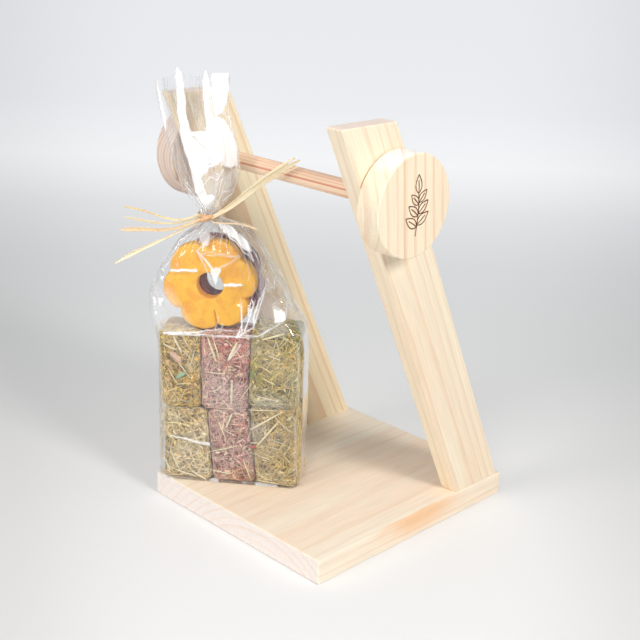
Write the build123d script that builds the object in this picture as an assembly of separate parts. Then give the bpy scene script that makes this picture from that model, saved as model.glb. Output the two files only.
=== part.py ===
from build123d import *
import os
from math import atan2, cos, degrees, hypot, pi, radians, sin, tan

os.makedirs("parts", exist_ok=True)

# Frame of the part: millimetres, origin at the centre of the plate's underside,
# X along the crossbar, Y from the front to the back, Z up.

# Base plate
plate_width = 174.0
plate_depth = 196.0
plate_thickness = 18.0
plate_edge_radius = 1.5

# Posts: laths that lean forward, with both ends cut level
post_thickness = 14.0
post_foot_length = 48.5
post_height = 284.0
post_lean = 25.6
post_side_inset = 1.5
post_back_inset = 4.0
post_edge_radius = 1.0

# Crossbar: a dowel that turns in the posts
bar_diameter = 12.0
bar_height_above_plate = 234.5
bar_running_clearance = 0.08
bar_end_chamfer = 0.8

# End discs
disc_diameter = 66.5
disc_thickness = 18.0
disc_edge_radius = 1.2
left_disc_gap = 7.5
right_disc_gap = 0.5
socket_depth = 12.0
socket_end_gap = 0.4
push_fit_clearance = 0.05
glue_clearance = 0.02

# Post screws, driven from under the plate
screw_diameter = 4.0
screw_length = 50.0
screw_tip_length = 5.0
screw_head_diameter = 8.0
screw_head_height = 2.4
screw_head_recess = 0.3
screw_hole_clearance = 0.25
screw_thread_clearance = 0.03
pilot_spare = 1.0
screw_front_inset = 10.5
screw_spacing = 16.0
drive_cross_width = 1.2
drive_cross_length = 4.4
drive_cross_depth = 1.4

# Snack pack: how its front left corner stands on the plate, and how far it is turned.
# Its own frame has X along its front, Y towards its back and Z up from the plate.
pack_left_inset = 13.0
pack_front_overhang = 1.5
pack_turn = 38.5

# Hay bricks: pressed by hand, so each has its own width low and high, and its own height
brick_depth = 32.0
brick_edge_radius = 4.0
brick_side_gap = 0.6
brick_row_gap = 0.4
lower_left_edges = (-1.0, -1.0)
lower_bottom_widths = (36.2, 31.6, 30.5)
lower_top_widths = (31.6, 30.0, 34.6)
lower_heights = (56.2, 56.2, 60.7)
lower_right_turn = 5.0
upper_left_edges = (-2.0, -4.0)
upper_bottom_widths = (28.4, 33.6, 34.8)
upper_top_widths = (30.0, 35.8, 35.0)
upper_heights = (59.2, 58.9, 59.4)
column_names = ("left", "middle", "right")

# Longest straws, pressed half into the front of each brick. Each runs from one place to another,
# given as a share of the brick's width and then of its height.
straw_width = 1.3
straw_rise = 0.7
straw_root = 1.5
brick_straws = {
    "lower_left": [
        (0.65, 0.70, 0.85, 0.45), (0.15, 0.40, 0.35, 0.12), (0.18, 0.14, 0.68, 0.08),
        (0.13, 0.62, 0.83, 0.54)],
    "lower_middle": [
        (0.13, 0.43, 0.69, 0.54), (0.27, 0.88, 0.42, 0.61), (0.39, 0.75, 0.67, 0.68),
        (0.13, 0.15, 0.48, 0.12), (0.78, 0.34, 0.86, 0.10)],
    "lower_right": [
        (0.13, 0.76, 0.69, 0.92), (0.13, 0.52, 0.69, 0.88), (0.40, 0.41, 0.66, 0.14),
        (0.21, 0.33, 0.86, 0.29), (0.13, 0.08, 0.87, 0.07)],
    "upper_left": [
        (0.34, 0.93, 0.55, 0.74), (0.58, 0.93, 0.77, 0.78), (0.30, 0.73, 0.76, 0.41),
        (0.21, 0.52, 0.45, 0.31), (0.13, 0.83, 0.43, 0.76), (0.86, 0.78, 0.71, 0.49)],
    "upper_middle": [
        (0.16, 0.93, 0.33, 0.65), (0.27, 0.92, 0.39, 0.70), (0.57, 0.67, 0.75, 0.92),
        (0.13, 0.51, 0.52, 0.50), (0.66, 0.43, 0.66, 0.10), (0.29, 0.25, 0.46, 0.35)],
    "upper_right": [
        (0.24, 0.89, 0.67, 0.93), (0.38, 0.70, 0.62, 0.65), (0.27, 0.41, 0.55, 0.33),
        (0.17, 0.16, 0.67, 0.11), (0.18, 0.57, 0.43, 0.49)],
}

# Flower biscuits, the red one close behind the yellow one
biscuit_thickness = 10.0
biscuit_petals = 6
biscuit_petal_radius = 17.4
biscuit_petal_reach = 16.3
biscuit_hole_diameter = 19.5
biscuit_edge_radius = 1.6
biscuit_gap = 0.6
biscuit_seat_gap = 0.4
yellow_biscuit_x = 31.8
yellow_biscuit_y = 7.0
yellow_biscuit_turn = 12.0
red_biscuit_shift = 3.7
red_biscuit_turn = 42.0

# Film bag, thicker than the real film so that it is a solid, and its room round the bricks
film_thickness = 0.6
film_clearance = 0.2
bag_front_room = 1.7
bag_back_room = 4.4
bag_corner_radius = 7.0
bag_floor_left_room = 3.5
bag_floor_right_room = 2.2
bag_stack_left_room = 2.5
bag_stack_right_room = 6.5
# Each level of the shoulders: drop below the top of the biscuits, then the room that the
# bag leaves left, right, in front of and behind them, and its corner radius
bag_shoulders = [
    (41.0, 9.1, 19.3, 5.5, 6.4, 8.0),
    (20.0, 4.1, 8.3, 4.0, 3.9, 9.0),
    (0.5, -12.0, -3.2, 2.5, 2.4, 9.0),
]
neck_rise = 11.5
neck_length = 9.0
neck_radius = 6.2
neck_side_shift = 1.8
neck_back_shift = 3.5
round_corner_share = 0.98

# Fanned top of the bag, a pleated sheet
fan_pleats = 7
fan_thickness = 1.4
# Each level from the neck's start: height, left and right edge, middle depth, pleat swing
fan_levels = [
    (8.0, -4.5, 4.5, 0.0, 0.6),
    (19.0, -13.5, 15.5, -1.5, 3.4),
    (43.0, -22.0, 23.0, -3.7, 4.2),
    (70.0, -30.0, 18.5, -6.1, 4.2),
    (105.0, -34.0, 16.8, -9.3, 3.8),
]

# Raffia round the neck, its knot and its loose ends
band_height = 6.0
band_thickness = 1.5
band_clearance = 0.15
knot_width = 11.0
knot_depth = 6.5
knot_height = 9.5
knot_rounding = 2.4
knot_side_shift = 0.5
knot_gap = 0.2
knot_rise = 5.6
arc_share = 0.45
# Each tail: its diameter and its route from the neck's start, in the pack's directions
tails = {
    "raffia_tail_left_top": (1.4, [
        (-3.5, -11.9, 8.6), (-10.5, -12.4, 5.6), (-18.0, -12.7, 3.5), (-27.5, -12.9, 4.6),
        (-38.0, -12.7, 7.9), (-48.0, -12.5, 9.9), (-58.0, -12.1, 11.2)]),
    "raffia_tail_left_upper": (1.4, [
        (-3.5, -9.4, 6.6), (-10.3, -9.8, 3.6), (-17.5, -10.3, 1.2), (-27.0, -10.7, 0.0),
        (-37.5, -11.0, 0.7), (-48.0, -10.7, 2.0), (-58.0, -10.2, 2.9)]),
    "raffia_tail_left_lower": (2.6, [
        (-3.5, -11.5, 5.0), (-10.5, -11.7, 1.6), (-19.0, -12.1, -2.2), (-30.0, -12.5, -4.2),
        (-41.0, -12.7, -4.2), (-50.5, -12.9, -4.8), (-59.0, -13.2, -5.6)]),
    "raffia_tail_left_bottom": (2.4, [
        (-3.5, -8.7, 2.8), (-10.5, -9.0, -0.6), (-20.0, -9.7, -5.8), (-30.0, -10.5, -11.4),
        (-40.5, -11.3, -16.8), (-52.5, -12.3, -23.4), (-64.0, -13.1, -30.6)]),
    "raffia_tail_right_top": (4.6, [
        (4.5, -10.6, 6.4), (14.5, -12.3, 12.4), (25.0, -15.5, 21.8), (36.0, -18.5, 31.2),
        (46.5, -20.9, 39.9), (56.5, -22.7, 46.8), (66.0, -24.5, 52.8)]),
    "raffia_tail_right_short": (1.6, [
        (4.5, -9.3, 3.0), (11.0, -9.9, 2.2), (18.0, -10.9, 3.4), (25.0, -11.9, 3.6),
        (32.0, -12.7, 2.2), (38.0, -13.4, 0.6)]),
}

# Values that follow from the driving dimensions
half_width = plate_width / 2
post_outer_x = half_width - post_side_inset
post_inner_x = post_outer_x - post_thickness
post_foot_back = plate_depth / 2 - post_back_inset
post_foot_front = post_foot_back - post_foot_length
post_slope = tan(radians(post_lean))
bar_radius = bar_diameter / 2
bar_z = plate_thickness + bar_height_above_plate
bar_y = (post_foot_front + post_foot_back) / 2 - bar_height_above_plate * post_slope
# From the middle of the plate to each disc's inner face and to each end of the bar
disc_inner_x = {-1: post_outer_x + left_disc_gap, 1: post_outer_x + right_disc_gap}
bar_end_x = {side: inner + socket_depth - socket_end_gap for side, inner in disc_inner_x.items()}
pack_corner_x = -half_width + pack_left_inset
pack_corner_y = -plate_depth / 2 - pack_front_overhang
pack_place = Pos(pack_corner_x, pack_corner_y, plate_thickness) * Rot(0, 0, pack_turn)
lower_row_z = film_thickness + film_clearance
lower_tops = [lower_row_z + height for height in lower_heights]
upper_seats = [lower_tops[0], max(lower_tops[:2]), lower_tops[2]]
upper_row_z = [seat + brick_row_gap for seat in upper_seats]
upper_tops = [low + height for low, height in zip(upper_row_z, upper_heights)]
biscuit_radius = biscuit_petal_reach + biscuit_petal_radius
biscuit_seat_z = max(upper_tops[:2]) + biscuit_seat_gap
red_biscuit_x = yellow_biscuit_x + red_biscuit_shift
red_biscuit_y = yellow_biscuit_y + biscuit_thickness + biscuit_gap
biscuit_back = red_biscuit_y + biscuit_thickness


def petal_low(turn):
    """How far the lowest petal of a biscuit turned like this reaches below its middle."""
    angles = [radians(turn + petal * 360 / biscuit_petals) for petal in range(biscuit_petals)]
    return biscuit_petal_radius - biscuit_petal_reach * min(sin(angle) for angle in angles)


biscuits_top = biscuit_seat_z + petal_low(yellow_biscuit_turn) + biscuit_radius
neck_z = biscuits_top + neck_rise
neck_x = yellow_biscuit_x - neck_side_shift
neck_y = yellow_biscuit_y + neck_back_shift
knot_x = neck_x + knot_side_shift
knot_z = neck_z + knot_rise


def screw_places():
    """Middle of each screw in X and Y, two under each post."""
    post_middle_x = (post_inner_x + post_outer_x) / 2
    first_y = post_foot_front + screw_front_inset
    return [(side * post_middle_x, first_y + step * screw_spacing)
            for side in (-1, 1) for step in (0, 1)]


def make_base_plate():
    plate = Pos(0, 0, plate_thickness / 2) * Box(plate_width, plate_depth, plate_thickness)
    plate = fillet(plate.edges(), plate_edge_radius)
    hole_radius = screw_diameter / 2 + screw_hole_clearance
    head_radius = screw_head_diameter / 2 + screw_hole_clearance
    sink_depth = screw_head_recess + screw_head_height
    for x, y in screw_places():
        plate -= Pos(x, y, plate_thickness / 2) * Cylinder(hole_radius, plate_thickness)
        mouth = Pos(x, y, screw_head_recess / 2) * Cylinder(head_radius, screw_head_recess)
        cone_middle = (screw_head_recess + sink_depth) / 2
        sink = Pos(x, y, cone_middle) * Cone(head_radius, hole_radius, screw_head_height)
        plate -= mouth + sink
    return plate


def make_post(side):
    """One leaning lath. side is -1 for the left post and 1 for the right one."""
    shift = post_height * post_slope
    outline = Polyline(
        (post_foot_front, plate_thickness),
        (post_foot_back, plate_thickness),
        (post_foot_back - shift, plate_thickness + post_height),
        (post_foot_front - shift, plate_thickness + post_height),
        close=True,
    )
    middle_x = side * (post_inner_x + post_outer_x) / 2
    face = make_face(Plane.YZ * outline)
    post = Pos(middle_x, 0, 0) * extrude(face, post_thickness / 2, both=True)
    foot_edges = post.edges().group_by(Axis.Z)[0]
    post = fillet([edge for edge in post.edges() if edge not in foot_edges], post_edge_radius)
    bore_radius = bar_radius + bar_running_clearance
    bore_length = 2 * post_thickness
    post -= Pos(middle_x, bar_y, bar_z) * Rot(0, 90, 0) * Cylinder(bore_radius, bore_length)
    pilot_radius = screw_diameter / 2 + screw_thread_clearance
    pilot_top = screw_head_recess + screw_length + pilot_spare
    pilot_height = pilot_top - plate_thickness
    for x, y in screw_places():
        if x * side > 0:
            middle_z = (plate_thickness + pilot_top) / 2
            post -= Pos(x, y, middle_z) * Cylinder(pilot_radius, pilot_height)
    return post


def make_crossbar():
    bar = Rot(0, 90, 0) * Cylinder(bar_radius, bar_end_x[-1] + bar_end_x[1])
    end_edges = bar.edges().filter_by(GeomType.CIRCLE)
    middle_x = (bar_end_x[1] - bar_end_x[-1]) / 2
    return Pos(middle_x, bar_y, bar_z) * chamfer(end_edges, bar_end_chamfer)


def make_disc(side, clearance):
    """An end disc with a blind socket for the bar in its inner face."""
    middle_x = side * (disc_inner_x[side] + disc_thickness / 2)
    disc = Rot(0, 90, 0) * Cylinder(disc_diameter / 2, disc_thickness)
    disc = fillet(disc.edges().filter_by(GeomType.CIRCLE), disc_edge_radius)
    socket_x = side * (socket_depth - disc_thickness) / 2
    disc -= Pos(socket_x, 0, 0) * Rot(0, 90, 0) * Cylinder(bar_radius + clearance, socket_depth)
    return Pos(middle_x, bar_y, bar_z) * disc


def make_screw(x, y):
    """A countersunk wood screw, point up, with a cross recess in its head."""
    half = screw_diameter / 2
    head = screw_head_diameter / 2
    tip_start = screw_length - screw_tip_length
    profile = Polyline(
        (0, 0), (head, 0), (half, screw_head_height), (half, tip_start), (0, screw_length),
        close=True)
    screw = revolve(make_face(Plane.XZ * profile), Axis.Z, 360)
    for turn in (0, 90):
        slot = Box(drive_cross_length, drive_cross_width, 2 * drive_cross_depth)
        screw -= Rot(0, 0, turn) * slot
    return Pos(x, y, screw_head_recess) * screw


def row_edges(first_left, widths):
    """Left and right side of each brick in a row, side by side."""
    edges = []
    left = first_left
    for width in widths:
        edges.append((left, left + width))
        left += width + brick_side_gap
    return edges


def brick_spot(bottom, top, low, height, across, up):
    """X and Z of a place on a brick's front, from its shares of the width and the height."""
    left = bottom[0] + (top[0] - bottom[0]) * up
    right = bottom[1] + (top[1] - bottom[1]) * up
    return left + (right - left) * across, low + height * up


def make_straw(first, last):
    """A straw between two places on a brick's front, half sunk in it."""
    run, climb = last[0] - first[0], last[1] - first[1]
    middle = Pos((first[0] + last[0]) / 2, (straw_root - straw_rise) / 2, (first[1] + last[1]) / 2)
    straw = Box(hypot(run, climb), straw_rise + straw_root, straw_width)
    return middle * Rot(0, -degrees(atan2(climb, run)), 0) * straw


def make_brick(bottom, top, low, height, turn, straws):
    """A pressed brick between two slanted side lines, with its edges rounded off and straws."""
    outline = Polyline(
        (bottom[0], low), (bottom[1], low), (top[1], low + height), (top[0], low + height),
        close=True)
    face = make_face(Plane.XZ * outline)
    brick = extrude(face, brick_depth, dir=(0, 1, 0))
    brick = fillet(brick.edges(), brick_edge_radius)
    for straw in straws:
        ends = [brick_spot(bottom, top, low, height, *straw[end:end + 2]) for end in (0, 2)]
        brick += make_straw(*ends)
    corner = Pos(bottom[0], 0, 0)
    return pack_place * corner * Rot(0, 0, -turn) * corner.inverse() * brick


def make_biscuit(centre_x, front_y, turn):
    """A biscuit of round petals with a threading hole, standing on the upper bricks."""
    flower = Circle(biscuit_petal_reach)
    for petal in range(biscuit_petals):
        angle = radians(turn + petal * 360 / biscuit_petals)
        x = biscuit_petal_reach * cos(angle)
        z = biscuit_petal_reach * sin(angle)
        flower += Pos(x, z) * Circle(biscuit_petal_radius)
    biscuit = extrude(flower, biscuit_thickness)
    rims = biscuit.edges().group_by(Axis.Z)
    biscuit = fillet(rims[0] + rims[-1], biscuit_edge_radius)
    hole = Cylinder(biscuit_hole_diameter / 2, 2 * biscuit_thickness)
    biscuit -= Pos(0, 0, biscuit_thickness / 2) * hole
    centre_z = biscuit_seat_z + petal_low(turn)
    back_y = front_y + biscuit_thickness
    return pack_place * Pos(centre_x, back_y, centre_z) * Rot(90, 0, 0) * biscuit


def bag_levels(lower_edges, upper_edges):
    """Height, left, right, front, back and corner radius of the bag at each of its bends."""
    turn = radians(lower_right_turn)
    turned_right = lower_edges[-1][1] + brick_depth * sin(turn)
    front = -lower_bottom_widths[-1] * sin(turn) - bag_front_room
    back = brick_depth + bag_back_room
    floor = (0.0, lower_edges[0][0] - bag_floor_left_room, turned_right + bag_floor_right_room,
             front, back, bag_corner_radius)
    stack = (max(upper_tops), upper_edges[0][0] - bag_stack_left_room,
             upper_edges[-1][1] + bag_stack_right_room, front, back, bag_corner_radius)
    shoulders = [
        (biscuits_top - drop, yellow_biscuit_x - biscuit_radius - left,
         red_biscuit_x + biscuit_radius + right, yellow_biscuit_y - before,
         biscuit_back + behind, radius)
        for drop, left, right, before, behind, radius in bag_shoulders]
    return [floor, stack] + shoulders


def bag_section(level, wall):
    """One level of the bag, drawn in on every side by the wall given."""
    height, left, right, front, back, radius = level
    width = right - left - 2 * wall
    depth = back - front - 2 * wall
    middle = ((left + right) / 2, (front + back) / 2, height)
    return Plane(middle) * RectangleRounded(width, depth, radius - wall)


def neck_level(height):
    radius = neck_radius
    return (height, neck_x - radius, neck_x + radius, neck_y - radius, neck_y + radius,
            round_corner_share * radius)


def fan_section(level):
    """A zigzag strip across one level of the fanned top."""
    height, left, right, middle, swing = level
    step = (right - left) / fan_pleats
    front = []
    for fold in range(fan_pleats + 1):
        y = middle + (swing if fold % 2 else -swing)
        front.append((left + fold * step, y - fan_thickness / 2))
    back = [(x, y + fan_thickness) for x, y in reversed(front)]
    outline = Polyline(*front, *back, close=True)
    return Plane((neck_x, neck_y, neck_z + height)) * make_face(outline)


def make_bag_film(levels):
    """The bag as a thin shell, closed by its neck, with the fanned top above it."""
    outer_levels = levels + [neck_level(neck_z)]
    outer = loft([bag_section(level, 0) for level in outer_levels], ruled=True)
    floor_level = (film_thickness,) + levels[0][1:]
    inner_levels = [floor_level] + levels[1:] + [neck_level(neck_z - film_thickness)]
    inner = loft([bag_section(level, film_thickness) for level in inner_levels], ruled=True)
    neck = Pos(neck_x, neck_y, neck_z + neck_length / 2) * Cylinder(neck_radius, neck_length)
    fan = loft([fan_section(level) for level in fan_levels], ruled=True)
    return pack_place * (outer - inner + neck + fan)


def make_raffia_knot():
    """A band round the neck with the knot on its front."""
    inner = neck_radius + band_clearance
    band = Cylinder(inner + band_thickness, band_height)
    band = Pos(neck_x, neck_y, knot_z) * band
    knot_middle_y = neck_y - neck_radius - knot_gap - knot_depth / 2
    knot = Box(knot_width, knot_depth, knot_height)
    knot = Pos(knot_x, knot_middle_y, knot_z) * fillet(knot.edges(), knot_rounding)
    hole = Pos(neck_x, neck_y, knot_z) * Cylinder(inner, 2 * knot_height)
    return pack_place * (band + knot - hole)


def corner_radii(points):
    """The largest arc at each corner of a route, from the shorter run beside it."""
    radii = []
    for before, here, after in zip(points, points[1:], points[2:]):
        run_in = Vector(*here) - Vector(*before)
        run_out = Vector(*after) - Vector(*here)
        turn = radians(run_in.get_angle(run_out))
        radii.append(arc_share * min(run_in.length, run_out.length) / tan(turn / 2))
    return radii


def make_tail(name, diameter, points):
    radii = corner_radii(points)
    path = FilletPolyline(*points, radius=radii)
    start = Plane(origin=path @ 0, z_dir=path % 0)
    tube = sweep(start * Circle(diameter / 2), path=path)
    expected = path.length * pi * diameter ** 2 / 4
    print(name, "length", round(path.length, 1), "radii", [round(r, 1) for r in radii],
          "volume ratio", round(tube.volume / expected, 4))
    return pack_place * Pos(neck_x, neck_y, neck_z) * tube


def save(name, shape):
    shape.label = name
    export_step(shape, f"parts/{name}.step")


def main():
    save("base_plate", make_base_plate())
    save("left_post", make_post(-1))
    save("right_post", make_post(1))
    save("crossbar", make_crossbar())
    save("left_disc", make_disc(-1, push_fit_clearance))
    save("right_disc", make_disc(1, glue_clearance))
    save("post_screws", Compound(children=[make_screw(x, y) for x, y in screw_places()]))
    lower_bottoms = row_edges(lower_left_edges[0], lower_bottom_widths)
    lower_edges = row_edges(lower_left_edges[1], lower_top_widths)
    upper_bottoms = row_edges(upper_left_edges[0], upper_bottom_widths)
    upper_edges = row_edges(upper_left_edges[1], upper_top_widths)
    for column, side in enumerate(column_names):
        turn = lower_right_turn if side == "right" else 0
        save(f"hay_brick_lower_{side}", make_brick(
            lower_bottoms[column], lower_edges[column], lower_row_z, lower_heights[column], turn,
            brick_straws[f"lower_{side}"]))
        save(f"hay_brick_upper_{side}", make_brick(
            upper_bottoms[column], upper_edges[column], upper_row_z[column],
            upper_heights[column], 0, brick_straws[f"upper_{side}"]))
    save("biscuit_yellow", make_biscuit(yellow_biscuit_x, yellow_biscuit_y, yellow_biscuit_turn))
    save("biscuit_red", make_biscuit(red_biscuit_x, red_biscuit_y, red_biscuit_turn))
    save("bag_film", make_bag_film(bag_levels(lower_bottoms, upper_edges)))
    save("raffia_knot", make_raffia_knot())
    for name, (diameter, points) in tails.items():
        save(name, make_tail(name, diameter, points))


main()
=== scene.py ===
# %% [markdown]
# # Snack tower
#
# A wooden stand for a small animal's snacks: a plate, two posts that lean forward, and a dowel that
# turns between two discs. A tied clear pack of six pressed hay bricks and two flower biscuits
# stands on the plate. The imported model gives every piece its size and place, in metres. This script
# dresses it: it finishes the wood, and it replaces the plain solids of hay, biscuit, film and
# raffia by meshes that look like the real stuff.

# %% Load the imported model
from math import cos, exp, pi, radians, sin

import bpy
import numpy as np
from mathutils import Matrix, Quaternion, Vector, noise
from mathutils.bvhtree import BVHTree


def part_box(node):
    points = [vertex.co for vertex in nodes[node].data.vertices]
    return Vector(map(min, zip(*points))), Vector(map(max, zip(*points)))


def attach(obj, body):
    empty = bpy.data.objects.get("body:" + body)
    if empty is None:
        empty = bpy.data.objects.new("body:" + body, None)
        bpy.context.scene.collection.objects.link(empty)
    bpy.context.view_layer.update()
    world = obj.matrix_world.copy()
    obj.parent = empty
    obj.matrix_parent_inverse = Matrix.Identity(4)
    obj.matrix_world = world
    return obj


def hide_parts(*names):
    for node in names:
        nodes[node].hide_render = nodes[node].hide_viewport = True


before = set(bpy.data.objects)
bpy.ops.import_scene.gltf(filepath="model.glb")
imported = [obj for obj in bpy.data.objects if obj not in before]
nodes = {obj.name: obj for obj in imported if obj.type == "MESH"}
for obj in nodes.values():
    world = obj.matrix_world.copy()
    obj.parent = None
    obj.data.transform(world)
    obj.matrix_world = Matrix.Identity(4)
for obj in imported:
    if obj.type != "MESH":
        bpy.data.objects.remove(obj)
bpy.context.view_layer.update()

MM = 0.001

# %% [markdown]
# ## The pack's own directions
#
# The pack stands askew on the plate, so its pieces are easier to place in its own directions: `s`
# runs along its front, `d` towards its back and `h` up from the plate. All three are millimetres.
# One function turns them into a place in the shared frame.

# %% The pack's directions
pack_corner = np.array([-74.0, -99.5, 18.0]) * MM
pack_turn = radians(38.5)
pack_axes = np.array([
    [cos(pack_turn), sin(pack_turn), 0.0],
    [-sin(pack_turn), cos(pack_turn), 0.0],
    [0.0, 0.0, 1.0],
])
neck_place = np.array([30.0, 10.5, 195.1])


def in_pack(points):
    """Places in the shared frame, in metres, for points (s, d, h) in millimetres."""
    return pack_corner + np.asarray(points, float) * MM @ pack_axes


# %% [markdown]
# ## Camera
#
# The camera stands in front and to the right, a little above the stand, with a long lens. Its place
# and angles come from fitting the plate, the posts and the discs to the photograph.

# %% Camera
camera_yaw = radians(44.597)
camera_pitch = radians(-19.844)
camera_roll = radians(1.977)
camera_data = bpy.data.cameras.new("camera")
camera_data.lens = 67.156
camera_data.sensor_width = 36.0
camera = bpy.data.objects.new("camera", camera_data)
camera.location = (0.56326, -0.58777, 0.43333)
camera.rotation_mode = "QUATERNION"
camera.rotation_quaternion = (
    Quaternion((0, 0, 1), camera_yaw)
    @ Quaternion((1, 0, 0), pi / 2 + camera_pitch)
    @ Quaternion((0, 0, 1), camera_roll)
)
scene = bpy.context.scene
scene.collection.objects.link(camera)
scene.camera = camera
scene.view_settings.view_transform = "Standard"
print("camera at", tuple(camera.location))

# %% [markdown]
# ## Helpers for materials
#
# A shader is a tree of nodes. Adding a node, setting it up and wiring its inputs is the same three
# steps each time, so one helper does them. Short helpers on top of it give the nodes that come up
# again and again: sums, ranges, noise, mixed colours and raised surfaces. Another makes an empty
# node group with named sockets, for the effects that several materials share. Colours are written
# as a screen shows them, and turned into the linear values that a shader works with.

# %% Helpers for materials
def srgb(red, green, blue):
    """The linear colour of a screen colour from 0 to 255."""
    shares = [value / 255 for value in (red, green, blue)]
    return tuple(((s + 0.055) / 1.055) ** 2.4 if s > 0.04 else s / 12.92 for s in shares) + (1.0,)


def add(tree, kind, inputs=None, **settings):
    """A new shader node, with its settings and its inputs: plain values, or sockets to wire in."""
    node = tree.nodes.new("ShaderNode" + kind)
    for name, value in settings.items():
        setattr(node, name, value)
    for name, value in (inputs or {}).items():
        if isinstance(value, bpy.types.NodeSocket):
            tree.links.new(value, node.inputs[name])
        else:
            node.inputs[name].default_value = value
    return node


def new_group(name, inputs, outputs):
    """An empty node group. inputs are (name, kind, value) and outputs are (name, kind)."""
    tree = bpy.data.node_groups.new(name, "ShaderNodeTree")
    for title, kind, value in inputs:
        socket = tree.interface.new_socket(title, in_out="INPUT", socket_type="NodeSocket" + kind)
        if value is not None:
            socket.default_value = value
    for title, kind in outputs:
        tree.interface.new_socket(title, in_out="OUTPUT", socket_type="NodeSocket" + kind)
    return tree, tree.nodes.new("NodeGroupInput").outputs, tree.nodes.new("NodeGroupOutput").inputs


def place_group(tree, group, inputs):
    """The group as a node in a material, with this material's own values."""
    return add(tree, "Group", inputs, node_tree=group).outputs


def maths(tree, operation, first, second=0.0, third=None):
    """One Math node on sockets or plain numbers."""
    inputs = {0: first, 1: second}
    if third is not None:
        inputs[2] = third
    return add(tree, "Math", inputs, operation=operation).outputs[0]


def vectors(tree, operation, first, second=None):
    """One Vector Math node on sockets or plain values. For SCALE, second is the scale."""
    inputs = {0: first}
    if second is not None:
        inputs["Scale" if operation == "SCALE" else 1] = second
    outputs = add(tree, "VectorMath", inputs, operation=operation).outputs
    return outputs["Value" if operation in ("DOT_PRODUCT", "LENGTH") else "Vector"]


def clouds(tree, place, scale, detail, roughness=0.5):
    """Noise from 0 to 1 over the places."""
    inputs = {"Vector": place, "Scale": scale, "Detail": detail, "Roughness": roughness}
    return add(tree, "TexNoise", inputs).outputs["Fac"]


def raised(tree, height, strength, distance):
    """The normal of a surface that a height raises and sinks."""
    inputs = {"Height": height, "Strength": strength, "Distance": distance}
    return add(tree, "Bump", inputs).outputs["Normal"]


def ramp(tree, value, low, high, to_low=0.0, to_high=1.0, smooth=True):
    """value moved from the range low to high into the range to_low to to_high."""
    kind = "SMOOTHSTEP" if smooth else "LINEAR"
    inputs = {"Value": value, "From Min": low, "From Max": high, "To Min": to_low,
              "To Max": to_high}
    return add(tree, "MapRange", inputs, interpolation_type=kind).outputs["Result"]


def mixed(tree, factor, first, second):
    """Two colours mixed by a factor. The Mix node keeps its colour sockets at places 6 and 7."""
    return add(tree, "Mix", {0: factor, 6: first, 7: second}, data_type="RGBA").outputs[2]


def new_material(name):
    """A material with an empty tree, its output and the places on the object."""
    material = bpy.data.materials.new(name)
    material.use_nodes = True
    tree = material.node_tree
    tree.nodes.clear()
    output = tree.nodes.new("ShaderNodeOutputMaterial").inputs["Surface"]
    return material, tree, output, add(tree, "TexCoord").outputs["Object"]


def principled(tree, output, inputs):
    """A Principled shader wired to the output."""
    tree.links.new(add(tree, "BsdfPrincipled", inputs).outputs[0], output)


def directly_seen(tree):
    """1 for a ray from the camera, a reflection or a look through something clear, otherwise 0."""
    path = add(tree, "LightPath").outputs
    seen = maths(tree, "MAXIMUM", path["Is Camera Ray"], path["Is Glossy Ray"])
    return maths(tree, "MAXIMUM", seen, path["Is Transmission Ray"])


# %% [markdown]
# ## Studio
#
# The stand is photographed on a pale sweep: a floor that curves up into a wall. Its brightness
# changes slowly from near to far as the studio light falls off, and that is painted shade: a ramp
# of colours along the sweep. It is palest in the middle, and painted shade scales it down a little
# towards both sides. Part of that colour is light of its own for the camera, so that the background
# stays even, and the rest is lit, so that the floor keeps the object's shadow. Soft lamps stand
# right, left and above, a narrow one adds the sharp lights on the film, and the room itself gives a
# weak light from all round.

# %% Sweep of floor and wall
def ways_along(line):
    """How far each point of a line lies from its start, measured along the line."""
    steps = np.linalg.norm(np.diff(line, axis=0), axis=1)
    return np.concatenate([[0.0], np.cumsum(steps)])


def make_sweep():
    near, wall_start, bend, top, half_width = -0.9, 1.75, 0.5, 2.2, 3.0
    profile = [(along, 0.0) for along in np.linspace(near, wall_start, 30)]
    for angle in np.linspace(0, pi / 2, 16)[1:]:
        profile.append((wall_start + bend * sin(angle), bend - bend * cos(angle)))
    profile.append((wall_start + bend, top))
    along = Vector((-sin(camera_yaw), cos(camera_yaw), 0))
    across = Vector((cos(camera_yaw), sin(camera_yaw), 0))
    points, faces = [], []
    for place, height in profile:
        for side in (-half_width, half_width):
            points.append(along * place + across * side + Vector((0, 0, height)))
    for row in range(len(profile) - 1):
        faces.append((2 * row, 2 * row + 1, 2 * row + 3, 2 * row + 2))
    mesh = bpy.data.meshes.new("sweep")
    mesh.from_pydata(points, [], faces)
    mesh.polygons.foreach_set("use_smooth", [True] * len(faces))
    share = mesh.attributes.new("Along", "FLOAT", "POINT")
    share.data.foreach_set("value", np.repeat(ways_along(profile) + near, 2).astype(np.float32))
    sweep = bpy.data.objects.new("sweep", mesh)
    scene.collection.objects.link(sweep)
    return sweep


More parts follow.
